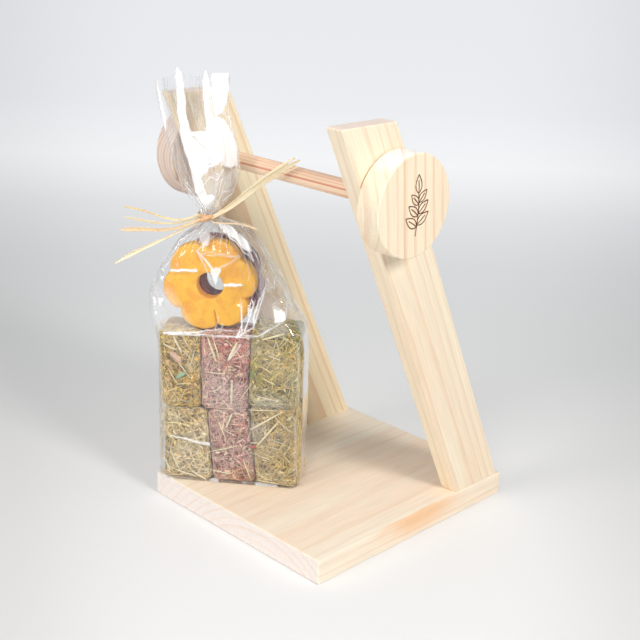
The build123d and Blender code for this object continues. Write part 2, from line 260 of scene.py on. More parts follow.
def sweep_material():
    material, tree, output, place = new_material("sweep paper")
    along = add(tree, "Attribute", attribute_name="Along").outputs["Fac"]
    share = ramp(tree, along, -0.3, 2.9, smooth=False)
    colours = add(tree, "ValToRGB", {"Fac": share})
    # painted shade: these stops darken and lighten the sweep from near to far, for the light's
    # falloff
    stops = [(0.0, srgb(244, 244, 243)), (0.12, srgb(243, 243, 242)), (0.19, srgb(239, 240, 239)),
             (0.28, srgb(235, 236, 237)), (0.36, srgb(236, 237, 239)), (0.46, srgb(248, 249, 251)),
             (0.62, srgb(240, 242, 245)), (0.78, srgb(236, 238, 241)), (1.0, srgb(235, 237, 241))]
    for _ in range(len(stops) - 2):
        colours.color_ramp.elements.new(0.5)
    for element, (position, colour) in zip(colours.color_ramp.elements, stops):
        element.position, element.color = position, colour
    # painted shade: the sweep is scaled darker towards both sides
    aside = vectors(tree, "DOT_PRODUCT", place, (cos(camera_yaw), sin(camera_yaw), 0.0))
    reach = maths(tree, "MULTIPLY_ADD", maths(tree, "MAXIMUM", along, -0.5), 0.255, 0.225)
    aside = maths(tree, "DIVIDE", aside, reach)
    side_shade = ramp(tree, maths(tree, "MULTIPLY", aside, aside), 0.15, 1.35, 1.0, 0.86)
    colour = vectors(tree, "SCALE", colours.outputs["Color"], side_shade)
    lit = add(tree, "BsdfPrincipled", {"Base Color": colour, "Roughness": 0.9,
                                       "Specular IOR Level": 0.1})
    glow = add(tree, "Emission", {"Color": colour, "Strength": 1.0})
    own_light = ramp(tree, along, 0.1, 1.1, 0.30, 0.95)
    factor = maths(tree, "MULTIPLY", directly_seen(tree), own_light)
    mix = add(tree, "MixShader", {0: factor, 1: lit.outputs[0], 2: glow.outputs[0]})
    tree.links.new(mix.outputs[0], output)
    return material


sweep = make_sweep()
sweep.data.materials.append(sweep_material())

# %% Lamps
def lamp(name, place, aim, width, height, power, colour=(1, 1, 1)):
    data = bpy.data.lights.new(name, "AREA")
    data.shape = "RECTANGLE"
    data.size, data.size_y = width, height
    data.energy = power
    data.color = colour
    obj = bpy.data.objects.new(name, data)
    obj.location = place
    obj.rotation_mode = "QUATERNION"
    obj.rotation_quaternion = (Vector(aim) - Vector(place)).to_track_quat("-Z", "Y")
    scene.collection.objects.link(obj)
    return obj


middle = (0.0, 0.0, 0.14)
lamp("right softbox", (1.05, -0.12, 0.82), middle, 0.28, 0.40, 8.9, (1.0, 0.985, 0.965))
lamp("left softbox", (-0.10, -1.25, 0.66), middle, 0.50, 0.70, 7.8, (1.0, 0.965, 0.955))
lamp("top softbox", (-0.25, 0.10, 1.30), middle, 0.60, 0.60, 1.5, (0.97, 0.985, 1.0))
lamp("strip lamp", (0.30, -0.55, 1.05), middle, 0.10, 0.60, 2.0)
world = bpy.data.worlds.new("studio")
world.use_nodes = True
room = world.node_tree
room.nodes["Background"].inputs["Color"].default_value = (0.93, 0.95, 1.0, 1.0)
room_light, room_shown = 0.24, 0.80
room.links.new(ramp(room, directly_seen(room), 0.0, 1.0, room_light, room_shown, smooth=False),
               room.nodes["Background"].inputs["Strength"])
scene.world = world

# %% [markdown]
# ## Helpers for meshes
#
# The soft pieces are built point by point. One helper turns arrays of points and faces into an
# object that rides on its body, gives it its finish and replaces its plain solid. Another closes a
# strip of equal rings into a tube, which is what blades of hay, raffia and stems all are.

# %% Helpers for meshes
def make_piece(name, points, faces, body, materials, replaces=(), smooth=True):
    """An object from points in metres and faces, riding on its body."""
    mesh = bpy.data.meshes.new(name)
    mesh.from_pydata(np.asarray(points, float).tolist(), [], [tuple(face) for face in faces])
    mesh.polygons.foreach_set("use_smooth", [smooth] * len(mesh.polygons))
    for material in materials:
        mesh.materials.append(material)
    obj = bpy.data.objects.new(name, mesh)
    scene.collection.objects.link(obj)
    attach(obj, body)
    if replaces:
        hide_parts(*replaces)
    return obj


def tint_points(obj, colours):
    """Gives each point of a mesh its own colour, for a material to read."""
    layer = obj.data.color_attributes.new("Tint", "FLOAT_COLOR", "POINT")
    opaque = np.ones((len(colours), 1), np.float32)
    colours = np.concatenate([np.asarray(colours, np.float32), opaque], axis=1)
    layer.data.foreach_set("color", colours.ravel())


def unit(directions):
    """The same directions with the length 1."""
    return directions / np.linalg.norm(directions, axis=1, keepdims=True)


def tube_faces(rings, sides, first=0):
    """Faces of a closed tube of rings with so many sides, and its two flat ends."""
    faces = []
    for ring in range(rings - 1):
        here, there = first + ring * sides, first + (ring + 1) * sides
        for side in range(sides):
            after = (side + 1) % sides
            faces.append((here + side, here + after, there + after, there + side))
    faces.append(tuple(first + side for side in reversed(range(sides))))
    last = first + (rings - 1) * sides
    faces.append(tuple(last + side for side in range(sides)))
    return faces


def join_parts(parts):
    """One array of points and one list of faces from several (points, faces)."""
    points, faces, count = [], [], 0
    for part_points, part_faces in parts:
        points.append(np.asarray(part_points, float))
        faces += [tuple(index + count for index in face) for face in part_faces]
        count += len(part_points)
    return np.concatenate(points), faces


# %% [markdown]
# ## Raffia ends: the routes
#
# Six loose ends of raffia leave the knot at the neck of the bag, four to the left and two to the
# right. Each is a stiff dry strip that keeps its own bend. Its route is a short list of points that
# a smooth NURBS curve follows, the same points as in the solids. The strip is then built along that
# curve, so the line comes first.

# %% Routes of the raffia ends
raffia_routes = {
    "raffia_tail_left_top": (1.4, [
        (-3.5, -11.9, 8.6), (-10.5, -12.4, 5.6), (-18.0, -12.7, 3.5), (-27.5, -12.9, 4.6),
        (-38.0, -12.7, 7.9), (-48.0, -12.5, 9.9), (-58.0, -12.1, 11.2)]),
    "raffia_tail_left_upper": (1.4, [
        (-3.5, -9.4, 6.6), (-10.3, -9.8, 3.6), (-17.5, -10.3, 1.2), (-27.0, -10.7, 0.0),
        (-37.5, -11.0, 0.7), (-48.0, -10.7, 2.0), (-58.0, -10.2, 2.9)]),
    "raffia_tail_left_lower": (2.6, [
        (-3.5, -11.5, 5.0), (-10.5, -11.7, 1.6), (-19.0, -12.1, -2.2), (-30.0, -12.5, -4.2),
        (-41.0, -12.7, -4.2), (-50.5, -12.9, -4.8), (-59.0, -13.2, -5.6)]),
    "raffia_tail_left_bottom": (2.4, [
        (-3.5, -8.7, 2.8), (-10.5, -9.0, -0.6), (-20.0, -9.7, -5.8), (-30.0, -10.5, -11.4),
        (-40.5, -11.3, -16.8), (-52.5, -12.3, -23.4), (-64.0, -13.1, -30.6)]),
    "raffia_tail_right_top": (4.6, [
        (4.5, -10.6, 6.4), (14.5, -12.3, 12.4), (25.0, -15.5, 21.8), (36.0, -18.5, 31.2),
        (46.5, -20.9, 39.9), (56.5, -22.7, 46.8), (66.0, -24.5, 52.8)]),
    "raffia_tail_right_short": (1.6, [
        (4.5, -9.3, 3.0), (11.0, -9.9, 2.2), (18.0, -10.9, 3.4), (25.0, -11.9, 3.6),
        (32.0, -12.7, 2.2), (38.0, -13.4, 0.6)]),
}


def smooth_line(points, resolution=14):
    """Points along the NURBS curve that has these control points."""
    curve = bpy.data.curves.new("route", "CURVE")
    curve.dimensions = "3D"
    curve.resolution_u = resolution
    spline = curve.splines.new("NURBS")
    spline.points.add(len(points) - 1)
    for control, place in zip(spline.points, points):
        control.co = (*place, 1.0)
    spline.order_u = 3
    spline.use_endpoint_u = True
    holder = bpy.data.objects.new("route", curve)
    mesh = bpy.data.meshes.new_from_object(holder)
    line = np.array([vertex.co for vertex in mesh.vertices])
    bpy.data.meshes.remove(mesh)
    bpy.data.objects.remove(holder)
    bpy.data.curves.remove(curve)
    return line


raffia_lines = {}
for name, (width, points) in raffia_routes.items():
    raffia_lines[name] = smooth_line(in_pack(np.array(points) + neck_place))
    print(name, "length", round(float(ways_along(raffia_lines[name])[-1]), 4), "m")

# %% [markdown]
# ## Raffia: the strip
#
# Raffia is a dried leaf strip: thin, a few millimetres wide, with its edges curled in and fine
# fibres along it that split off at the cut ends. A round tube would look like string. Each strip is
# therefore a flat closed tube with grooves and a curl, wider and narrower along its way. Three thin
# hairs leave it near its tip, and the broad strip on the right is split into fibres along most of
# its way. The same function makes the turns round the neck and the knot.

# %% Raffia strips
def strip_frames(line, facing):
    """Side and normal directions along a line, with the flat side kept towards facing."""
    tangents = unit(np.gradient(line, axis=0))
    sides = unit(np.cross(tangents, np.broadcast_to(np.asarray(facing, float), line.shape)))
    return sides, np.cross(sides, tangents)


def make_strip(line, facing, widths, thickness, curl, twist, seed, sides_round=16):
    """Points and faces of a flat curled strip along a line. twist turns it, in radians."""
    rng = np.random.default_rng(seed)
    side, normal = strip_frames(line, facing)
    twist = np.broadcast_to(twist, len(line))[:, None]
    turned_side = side * np.cos(twist) + normal * np.sin(twist)
    turned_normal = normal * np.cos(twist) - side * np.sin(twist)
    angles = np.linspace(0, 2 * pi, sides_round, endpoint=False)
    grooves = rng.normal(0, 0.16, sides_round)
    points = []
    for index, place in enumerate(line):
        half = widths[index] / 2
        across = np.cos(angles)
        depth = np.sin(angles) * thickness / 2 * (1 + grooves)
        bow = curl * half * (across ** 2 - 0.4)
        ripple = 0.06 * half * np.sin(index * 0.9 + 5 * across + seed)
        offset_side = turned_side[index] * (across * half)[:, None]
        offset_normal = turned_normal[index] * (depth + bow + ripple)[:, None]
        points.append(place + offset_side + offset_normal)
    return np.concatenate(points), tube_faces(len(line), sides_round)


def strip_widths(count, width, start_share, end_share, seed):
    """A width for each place along a strip: narrow at the knot, uneven, drawn in at the tip."""
    rng = np.random.default_rng(seed)
    share = np.linspace(0, 1, count)
    swell = np.interp(share, [0, 0.18, 0.55, 0.9, 1], [start_share, 0.85, 1, 0.92, end_share])
    knots = np.linspace(0, 1, 7)
    uneven = np.interp(share, knots, 1 + rng.normal(0, 0.07, 7))
    return width * np.minimum(swell * uneven, 1.0)


def make_hairs(line, facing, width, seed, count=3, earliest=0.45, latest=0.88, thick=0.00022):
    """Thin split fibres that leave a strip, most of them near its tip."""
    rng = np.random.default_rng(seed)
    side, normal = strip_frames(line, facing)
    parts = []
    for hair in range(count):
        start = int(len(line) * rng.uniform(earliest, 0.75))
        stop = int(len(line) * rng.uniform(latest, 0.99))
        share = np.linspace(0, 1, stop - start)[:, None]
        drift = (rng.uniform(0.2, 0.5) + 0.25 * share ** 1.5) * width * rng.choice([-1, 1])
        hair_line = line[start:stop] + side[start:stop] * drift + normal[start:stop] * 0.15 * width
        widths = np.full(len(hair_line), thick)
        parts.append(make_strip(hair_line, facing, widths, 0.00016, 0.0, 0.0, seed + hair, 5))
    return parts


# %% [markdown]
# ## Raffia: the finish
#
# Dry raffia is pale straw, with streaks of darker gold and a faint orange along its length, and a
# soft shine across the fibres. The streaks follow the strip, so each point brings its own colour,
# the same along the whole strip and different across it. The material reads that colour and breaks
# it up with broad and fine noise. The strip's own grooves catch the light.

# %% Raffia material
def raffia_material():
    material, tree, output, place = new_material("dry raffia")
    tint = add(tree, "Attribute", attribute_name="Tint").outputs["Color"]
    fine = clouds(tree, place, 900.0, 4.0)
    broad = clouds(tree, place, 110.0, 3.0)
    darker = mixed(tree, ramp(tree, broad, 0.42, 0.68, 0.0, 0.40), tint, srgb(232, 188, 138))
    colour = mixed(tree, ramp(tree, fine, 0.40, 0.66, 0.0, 0.35), darker, srgb(255, 246, 214))
    principled(tree, output, {"Base Color": colour, "Roughness": 0.48, "Sheen Weight": 0.2,
                              "Normal": raised(tree, fine, 0.35, 0.00015)})
    return material


raffia = raffia_material()
raffia_tints = {
    "raffia_tail_left_top": (236, 214, 158), "raffia_tail_left_upper": (244, 228, 182),
    "raffia_tail_left_lower": (240, 208, 160), "raffia_tail_left_bottom": (248, 234, 198),
    "raffia_tail_right_top": (250, 234, 198), "raffia_tail_right_short": (246, 218, 186),
}


def strip_tints(line_count, sides_round, colour, seed):
    """A colour for each point of a strip: streaks across it that run its whole length."""
    rng = np.random.default_rng(seed)
    streaks = rng.normal(1.0, 0.10, sides_round)
    base = np.array(srgb(*colour)[:3])
    warm = np.array([1.0, 0.93, 0.82])
    columns = [base * streak * (warm if index % 5 == 0 else 1.0)
               for index, streak in enumerate(streaks)]
    return np.clip(np.tile(np.array(columns), (line_count, 1)), 0, 1)


# %% Build the raffia ends
towards_viewer = -pack_axes[1]
strip_sides = 16
for seed, (name, (width, points)) in enumerate(raffia_routes.items(), start=11):
    line = raffia_lines[name]
    widths = strip_widths(len(line), width * MM, 0.6, 0.35, seed)
    twist = 0.5 * np.sin(np.linspace(0, 2.6, len(line)) + seed)
    thickness = 0.35 * MM if width > 2 else 0.3 * MM
    strip = make_strip(line, towards_viewer, widths, thickness, 0.28, twist, seed, strip_sides)
    split_up = dict(count=7, earliest=0.1, latest=0.98, thick=0.7 * MM) if width > 4 else {}
    hairs = make_hairs(line, towards_viewer, width * MM, seed, **split_up)
    points, faces = join_parts([strip] + hairs)
    obj = make_piece(name + "_strip", points, faces, "snack_pack", [raffia], (name,))
    tints = strip_tints(len(line), strip_sides, raffia_tints[name], seed)
    rest = np.tile(srgb(*raffia_tints[name])[:3], (len(points) - len(tints), 1))
    tint_points(obj, np.concatenate([tints, rest]))
    length = float(ways_along(line)[-1])
    print(obj.name, "declared", round(length, 4), "m long")

# %% [markdown]
# ## Raffia: the turns and the knot
#
# A few turns of raffia draw the bag's neck together, and the ends cross in a plain overhand knot in
# front. The solids hold a band and a rounded block there. Here the four turns are flat strips wound
# round the neck at slightly different heights, and the knot is five short strips that cross over
# each other, with the ends leaving from it.

# %% Build the turns and the knot
def ring_line(height, radius, tilt, start):
    """A line round the neck, a little tilted, in the shared frame."""
    angles = start + np.linspace(0, 2 * pi, 72)
    s = neck_place[0] + radius * np.cos(angles)
    d = neck_place[1] + radius * np.sin(angles)
    h = neck_place[2] + height + tilt * np.sin(angles + 0.6)
    return in_pack(np.stack([s, d, h], axis=1))


def outward(line):
    """Directions away from the neck's middle line, for strips that lie on it."""
    middle = in_pack([neck_place])[0]
    away = line - middle
    away[:, 2] = 0
    return unit(away)


knot_strands = [
    (1.9, 0.8, [(-6.5, -8.4, 3.8), (-3.8, -9.8, 4.2), (-0.8, -11.0, 5.4), (1.8, -10.6, 7.0),
                (3.8, -8.8, 7.2), (5.4, -6.6, 6.2)]),
    (1.7, 0.7, [(6.6, -6.8, 7.6), (4.2, -9.4, 7.0), (1.2, -10.9, 5.4), (-1.4, -10.0, 3.6),
                (-3.4, -8.2, 3.0), (-5.4, -6.2, 3.8)]),
    (2.4, 0.9, [(-5.6, -10.4, 3.4), (-3.0, -11.6, 4.4), (0.0, -12.2, 5.8), (3.0, -11.6, 7.0),
                (6.0, -10.6, 7.8)]),
    (1.3, 0.6, [(-1.0, -8.6, 8.4), (-0.4, -11.0, 7.8), (0.5, -12.3, 6.0), (0.8, -11.4, 3.8),
                (0.4, -8.8, 2.8)]),
    (1.0, 0.5, [(-4.4, -9.8, 6.2), (-2.0, -11.0, 6.6), (0.8, -11.8, 7.4), (3.6, -10.8, 5.8)]),
]
knot_parts, knot_tints = [], []
for turn, (height, radius, tilt, width) in enumerate(
        [(4.0, 6.9, 0.5, 1.7), (5.3, 7.2, -0.6, 1.9), (6.6, 6.9, 0.4, 1.5), (5.0, 7.5, 0.9, 1.1)]):
    line = ring_line(height, radius, tilt, 1.2 * turn)
    widths = np.full(len(line), width * MM)
    strip = make_strip(line, outward(line), widths, 0.4 * MM, 0.15, 0.0, 40 + turn, strip_sides)
    knot_parts.append(strip)
    knot_tints.append(strip_tints(len(line), strip_sides, (232, 196, 150), 40 + turn))
for strand, (width, thickness, points) in enumerate(knot_strands):
    line = smooth_line(in_pack(np.array(points) + neck_place))
    widths = strip_widths(len(line), width * MM, 0.8, 0.8, 60 + strand)
    strip = make_strip(line, towards_viewer, widths, thickness * MM, 0.2,
                       0.4 * np.sin(np.linspace(0, 3, len(line))), 60 + strand, strip_sides)
    knot_parts.append(strip)
    knot_tints.append(strip_tints(len(line), strip_sides, (226, 170, 118), 60 + strand))
points, faces = join_parts(knot_parts)
knot = make_piece("tied_raffia_knot", points, faces, "snack_pack", [raffia],
                  ("raffia_knot",))
tint_points(knot, np.concatenate(knot_tints))
print("knot:", len(knot.data.polygons), "faces")

# %% [markdown]
# ## Pine
#
# The stand is bare planed pine. A board shows its tree's yearly rings: pale wide early wood, then a
# thin reddish line of late wood, in cylinders round the tree's middle line. Working those cylinders
# out in three dimensions makes the pattern right on every face at once: long lines along the board,
# arches on flat faces and arcs on the end grain. One node group does that, and each board places it
# with its own grain direction, tree middle and ring width.

# %% Node group: rings of a tree
def make_ring_group():
    group, inp, out = new_group(
        "tree rings",
        [("Vector", "Vector", None), ("Tree Middle", "Vector", (0.0, 0.0, 0.0)),
         ("Ring Width", "Float", 0.003), ("Waviness", "Float", 0.002)],
        [("Late Wood", "Float"), ("Fibres", "Float"), ("Broad", "Float")])
    slow = vectors(group, "MULTIPLY", inp["Vector"], (1.0, 1.0, 0.14))
    drift = add(group, "TexNoise", {"Vector": slow, "Scale": 16.0, "Detail": 2.5})
    centred = vectors(group, "SUBTRACT", drift.outputs["Color"], (0.5, 0.5, 0.5))
    place = vectors(group, "ADD", inp["Vector"],
                    vectors(group, "SCALE", centred, inp["Waviness"]))
    from_middle = vectors(group, "SUBTRACT", place, inp["Tree Middle"])
    flat = vectors(group, "MULTIPLY", from_middle, (1.0, 1.0, 0.0))
    rings = maths(group, "DIVIDE", vectors(group, "LENGTH", flat), inp["Ring Width"])
    uneven = add(group, "TexNoise", {"W": maths(group, "MULTIPLY", rings, 0.6), "Scale": 1.0},
                 noise_dimensions="1D").outputs["Fac"]
    rings = maths(group, "ADD", rings, maths(group, "MULTIPLY", uneven, 0.9))
    share = maths(group, "FRACT", rings)
    year = maths(group, "FLOOR", rings)
    rise = ramp(group, share, 0.58, 0.94)
    fall = ramp(group, share, 0.95, 1.0, 1.0, 0.0)
    strength = add(group, "TexWhiteNoise", {"W": year}, noise_dimensions="1D").outputs["Value"]
    line = maths(group, "MULTIPLY", maths(group, "MULTIPLY", rise, fall),
                 ramp(group, strength, 0.0, 1.0, 0.35, 1.0, smooth=False))
    group.links.new(line, out["Late Wood"])
    thin = vectors(group, "MULTIPLY", inp["Vector"], (1.0, 1.0, 0.02))
    group.links.new(clouds(group, thin, 1500.0, 3.0), out["Fibres"])
    group.links.new(clouds(group, slow, 22.0, 3.0), out["Broad"])
    return group


tree_rings = make_ring_group()

# %% [markdown]
# ## Pine: end grain and streaks
#
# Where a board is cut across, the fibres end: the face is rougher, a little pinker, and speckled by
# the saw. A second group tells such faces by the angle between the surface and the grain. A third
# gives a single resin streak, the long orange mark near the plate's right edge.

# %% Node groups: end grain and resin streak
def make_end_group():
    group, inp, out = new_group(
        "end grain", [("Grain Normal", "Vector", None), ("Vector", "Vector", None)],
        [("Mask", "Float"), ("Speckle", "Float")])
    parts = add(group, "SeparateXYZ", {0: inp["Grain Normal"]}).outputs
    group.links.new(ramp(group, maths(group, "ABSOLUTE", parts["Z"]), 0.72, 0.95), out["Mask"])
    group.links.new(clouds(group, inp["Vector"], 620.0, 5.0, 0.75), out["Speckle"])
    return group


def make_streak_group():
    group, inp, out = new_group(
        "resin streak",
        [("Vector", "Vector", None), ("Middle", "Vector", (0, 0, 0)),
         ("Half Size", "Vector", (0.002, 0.05, 0.01))],
        [("Mask", "Float")])
    wave = clouds(group, inp["Vector"], 30.0, 2.0)
    shift = maths(group, "MULTIPLY", maths(group, "SUBTRACT", wave, 0.5), 0.004)
    moved = vectors(group, "ADD", inp["Vector"],
                    add(group, "CombineXYZ", {"X": shift}).outputs[0])
    away = vectors(group, "SUBTRACT", moved, inp["Middle"])
    size = vectors(group, "LENGTH", vectors(group, "DIVIDE", away, inp["Half Size"]))
    group.links.new(ramp(group, size, 0.2, 1.0, 1.0, 0.0), out["Mask"])
    return group


end_grain = make_end_group()
resin_streak = make_streak_group()

# %% Pine material
def pine(name, turn, tree_middle, ring_width, pale, blush, late, waviness, late_share,
         end_colour_and_highlight=(244, 226, 214), streak=None):
    """Planed pine. turn lays the grain, which runs along Z in the pattern, along the board."""
    material, tree, output, place = new_material(name)
    faced = add(tree, "TexCoord").outputs["Normal"]
    turned = [add(tree, "VectorRotate", {"Vector": vector, "Rotation": turn},
                  rotation_type="EULER_XYZ").outputs[0] for vector in (place, faced)]
    rings = place_group(tree, tree_rings, {"Vector": turned[0], "Tree Middle": tree_middle,
                                           "Ring Width": ring_width, "Waviness": waviness})
    ends = place_group(tree, end_grain, {"Grain Normal": turned[1], "Vector": turned[0]})
    base = mixed(tree, ramp(tree, rings["Broad"], 0.35, 0.68), srgb(*pale), srgb(*blush))
    lined = mixed(tree, maths(tree, "MULTIPLY", rings["Late Wood"], late_share), base, srgb(*late))
    shaded = vectors(tree, "SCALE", lined, ramp(tree, rings["Fibres"], 0.3, 0.7, 0.93, 1.04))
    if streak:
        mark = place_group(tree, resin_streak, {"Vector": place, **streak})["Mask"]
        shaded = mixed(tree, maths(tree, "MULTIPLY", mark, 0.62), shaded, srgb(246, 178, 104))
    # the colour of end grain; on the right disc its near-white is painted highlight from the lamp
    # above
    end_base = srgb(*end_colour_and_highlight)
    sawn = tuple(0.90 * value for value in end_base[:3]) + (1.0,)
    speckled = mixed(tree, ramp(tree, ends["Speckle"], 0.42, 0.66), end_base, sawn)
    end_lines = maths(tree, "MULTIPLY", rings["Late Wood"], 0.35)
    colour = mixed(tree, ends["Mask"], shaded, mixed(tree, end_lines, speckled, srgb(*late)))
    height = maths(tree, "ADD", maths(tree, "MULTIPLY", rings["Fibres"], 0.6),
                   maths(tree, "MULTIPLY", rings["Late Wood"], 0.5))
    rough_end = maths(tree, "MULTIPLY", ends["Mask"],
                      maths(tree, "MULTIPLY", ends["Speckle"], 3.0))
    normal = raised(tree, maths(tree, "ADD", height, rough_end), 0.35, 0.0002)
    roughness = ramp(tree, rings["Broad"], 0.3, 0.7, 0.50, 0.62)
    principled(tree, output, {"Base Color": colour, "Roughness": roughness, "Normal": normal})
    return material


def finish_node(name, material):
    """Gives a solid of the stand its finish."""
    for place in nodes[name].material_slots:
        place.material = material


post_lean = radians(25.6)
along_y = (radians(90), 0.0, 0.0)
along_lean = (-post_lean, 0.0, 0.0)
along_x = (0.0, radians(-90), 0.0)
nearly_upright = (radians(-6), 0.0, 0.0)
pine_boards = {
    "base_plate": dict(
        name="plate pine", turn=along_y, tree_middle=(0.030, 0.070, 0.0), ring_width=0.0062,
        pale=(253, 241, 220), blush=(250, 230, 206), late=(238, 202, 170), waviness=0.006,
        late_share=0.38, end_colour_and_highlight=(252, 242, 234),
        streak={"Middle": (0.0868, 0.002, 0.018), "Half Size": (0.0022, 0.064, 0.02)}),
    "right_post": dict(
        name="right post pine", turn=along_lean, tree_middle=(0.1225, 0.044, 0.0),
        ring_width=0.0052, pale=(251, 238, 212), blush=(248, 226, 198), late=(234, 190, 152),
        waviness=0.008, late_share=0.45),
    "left_post": dict(
        name="left post pine", turn=along_lean, tree_middle=(-0.036, 0.060, 0.0),
        ring_width=0.0043, pale=(254, 240, 208), blush=(252, 228, 188), late=(230, 176, 128),
        waviness=0.006, late_share=0.6),
    "right_disc": dict(
        name="right disc pine", turn=nearly_upright, tree_middle=(0.26, 0.148, 0.0),
        ring_width=0.0062, pale=(253, 241, 212), blush=(248, 228, 200), late=(224, 170, 130),
        # painted highlight: this disc's end grain, the top and bottom of its rim, is near white for
        # the light from above
        waviness=0.009, late_share=0.62, end_colour_and_highlight=(255, 250, 242)),
    "left_disc": dict(
        name="left disc pine", turn=nearly_upright, tree_middle=(-0.31, 0.10, 0.0),
        ring_width=0.0026, pale=(240, 220, 204), blush=(230, 204, 188), late=(178, 140, 124),
        waviness=0.003, late_share=1.0, end_colour_and_highlight=(240, 226, 216)),
    "crossbar": dict(
        name="crossbar pine", turn=along_x, tree_middle=(-0.30, 0.02, 0.0),
        ring_width=0.0019, pale=(252, 230, 202), blush=(246, 208, 176), late=(212, 130, 96),
        waviness=0.003, late_share=1.0),
}
for node, values in pine_boards.items():
    finish_node(node, pine(**values))
print("pine laid on", len(pine_boards), "nodes")

# %% [markdown]
# ## Screws
#
# Four zinc-plated screws hold the posts from below. They only show when the stand is turned over,
# but a plain grey would still look wrong there, so the metal has a slight yellowish cast and fine
# turned marks in its roughness.

# %% Screw material
def zinc():
    material, tree, output, place = new_material("zinc plate")
    marks = clouds(tree, place, 1800.0, 2.0)
    colour = mixed(tree, clouds(tree, place, 260.0, 3.0), srgb(206, 206, 200),
                   srgb(188, 184, 166))
    principled(tree, output, {"Base Color": colour, "Metallic": 1.0,
                              "Roughness": ramp(tree, marks, 0.3, 0.7, 0.28, 0.45),
                              "Normal": raised(tree, marks, 0.2, 0.0001)})
    return material


finish_node("post_screws", zinc())

# %% [markdown]
# ## Burnt sprig on the disc
#
# The right disc carries a small motif burnt into its face. Here it is a plain sprig of leaves: a
# stem, pairs of leaves with a midrib, and a leaf at the top. Each burnt line is a thin flat ribbon
# on the face, a little uneven in width as a hot pen leaves it, in scorched browns.

# %% Build the sprig
def scorched():
    material, tree, output, place = new_material("scorched line")
    uneven = ramp(tree, clouds(tree, place, 420.0, 3.0), 0.35, 0.65)
    colour = mixed(tree, uneven, srgb(92, 48, 22), srgb(138, 82, 44))
    principled(tree, output, {"Base Color": colour, "Roughness": 0.8})
    return material


def leaf_lines(foot, length, width, lean):
    """Outline and midrib of one leaf on the face, as lists of (y, z) in metres."""
    share = np.linspace(0, 1, 15)
    half = width / 2 * np.sin(pi * share ** 0.8)
    wave = 0.03 * width * np.sin(5 * share[:11])
    turned = np.array([[cos(lean), sin(lean)], [-sin(lean), cos(lean)]])
    return [np.stack([aside, share[:len(aside)] * length], axis=1) @ turned + foot
            for aside in (-half, half, wave)]


def burnt_ribbon(line, face_x, width, seed):
    """A flat ribbon on the disc's face along a line of (y, z)."""
    rng = np.random.default_rng(seed)
    tangents = unit(np.gradient(line, axis=0))
    across = np.stack([-tangents[:, 1], tangents[:, 0]], axis=1)
    half = width / 2 * (1 + rng.normal(0, 0.09, len(line)))[:, None]
    rings = []
    for left, right in zip(line - across * half, line + across * half):
        rings += [(face_x - line_sink, *left), (face_x - line_sink, *right),
                  (face_x + line_proud, *right), (face_x + line_proud, *left)]
    return np.array(rings), tube_faces(len(line), 4)


line_sink, line_proud = 0.05 * MM, 0.06 * MM
disc_low, disc_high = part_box("right_disc")
disc_middle = (disc_low + disc_high) / 2
sprig_foot = np.array([disc_middle.y + 1.5 * MM, disc_middle.z - 19.0 * MM])
sprig_height = 27.0 * MM
stem_share = np.linspace(0, 1, 24)
stem_line = sprig_foot + np.stack([1.8 * MM * np.sin(2.4 * stem_share),
                                   sprig_height * stem_share], axis=1)
sprig_lines = [stem_line]
leaf_pairs = [(0.24, 12.5, 6.0), (0.50, 11.5, 5.6), (0.76, 10.0, 5.0)]
for pair, (share, length, width) in enumerate(leaf_pairs):
    foot = stem_line[int(share * 23)]
    for rise, lean in ((0.0, 58 - 6 * pair), (1.4 * MM, -56 + 6 * pair)):
        sprig_lines += leaf_lines(foot + (0, rise), length * MM, width * MM, radians(lean))
sprig_lines += leaf_lines(stem_line[-1], 12.0 * MM, 5.6 * MM, radians(4))
sprig_points, sprig_faces = join_parts(
    [burnt_ribbon(line, disc_high.x, 0.75 * MM, 80 + index)
     for index, line in enumerate(sprig_lines)])
sprig = make_piece("burnt_leaf_sprig", sprig_points, sprig_faces, "bar", [scorched()],
                   smooth=False)
print("sprig lines:", len(sprig_lines))

# %% [markdown]
# ## Pressed hay: the core
#
# A hay brick is dried grass and herbs pressed in a mould: a block that keeps its shape, with a skin
# of stems that lie flat on it in all directions. It is built in two layers. First a core: the plain
# solid remeshed into small even squares, sunk a little and roughened by noise, in a dark colour
# that shows in the gaps. That colour is painted shade, for the shadow deep among the stems. The
# blades of grass are laid on that.

# %% Core of a hay brick
def dense_surface(name, voxel, sink, rough):
    """A solid's surface as small even faces: roughened points, smooth points and faces."""
    holder = bpy.data.objects.new("dense", nodes[name].data.copy())
    scene.collection.objects.link(holder)
    remesh = holder.modifiers.new("even faces", "REMESH")
    remesh.mode = "VOXEL"
    remesh.voxel_size = voxel
    graph = bpy.context.evaluated_depsgraph_get()
    mesh = bpy.data.meshes.new_from_object(holder.evaluated_get(graph))
    points, smooth = [], []
    for vertex in mesh.vertices:
        lumps = noise.noise(vertex.co * 170) + 0.6 * noise.noise(vertex.co * 430)
        points.append(vertex.co - vertex.normal * (sink - rough * lumps))
        swell = 0.5 * rough * noise.noise(vertex.co * 90)
        smooth.append(vertex.co - vertex.normal * (0.75 * sink - swell))
    faces = [tuple(polygon.vertices) for polygon in mesh.polygons]
    bpy.data.objects.remove(holder)
    return points, smooth, faces


# %% [markdown]
# ## Pressed hay: the blades
#
# Each blade starts at a random spot of the core and walks along it in short steps: step ahead, then
# drop back onto the nearest point of the surface. So it bends over the block's edges as a pressed
# stem does. A blade that clings less shoots straight on past an edge, which gives the fuzzy
# outline. Every blade is a thin closed three-sided prism, because real stems have a ridge that
# catches light, and it carries one colour of its own.

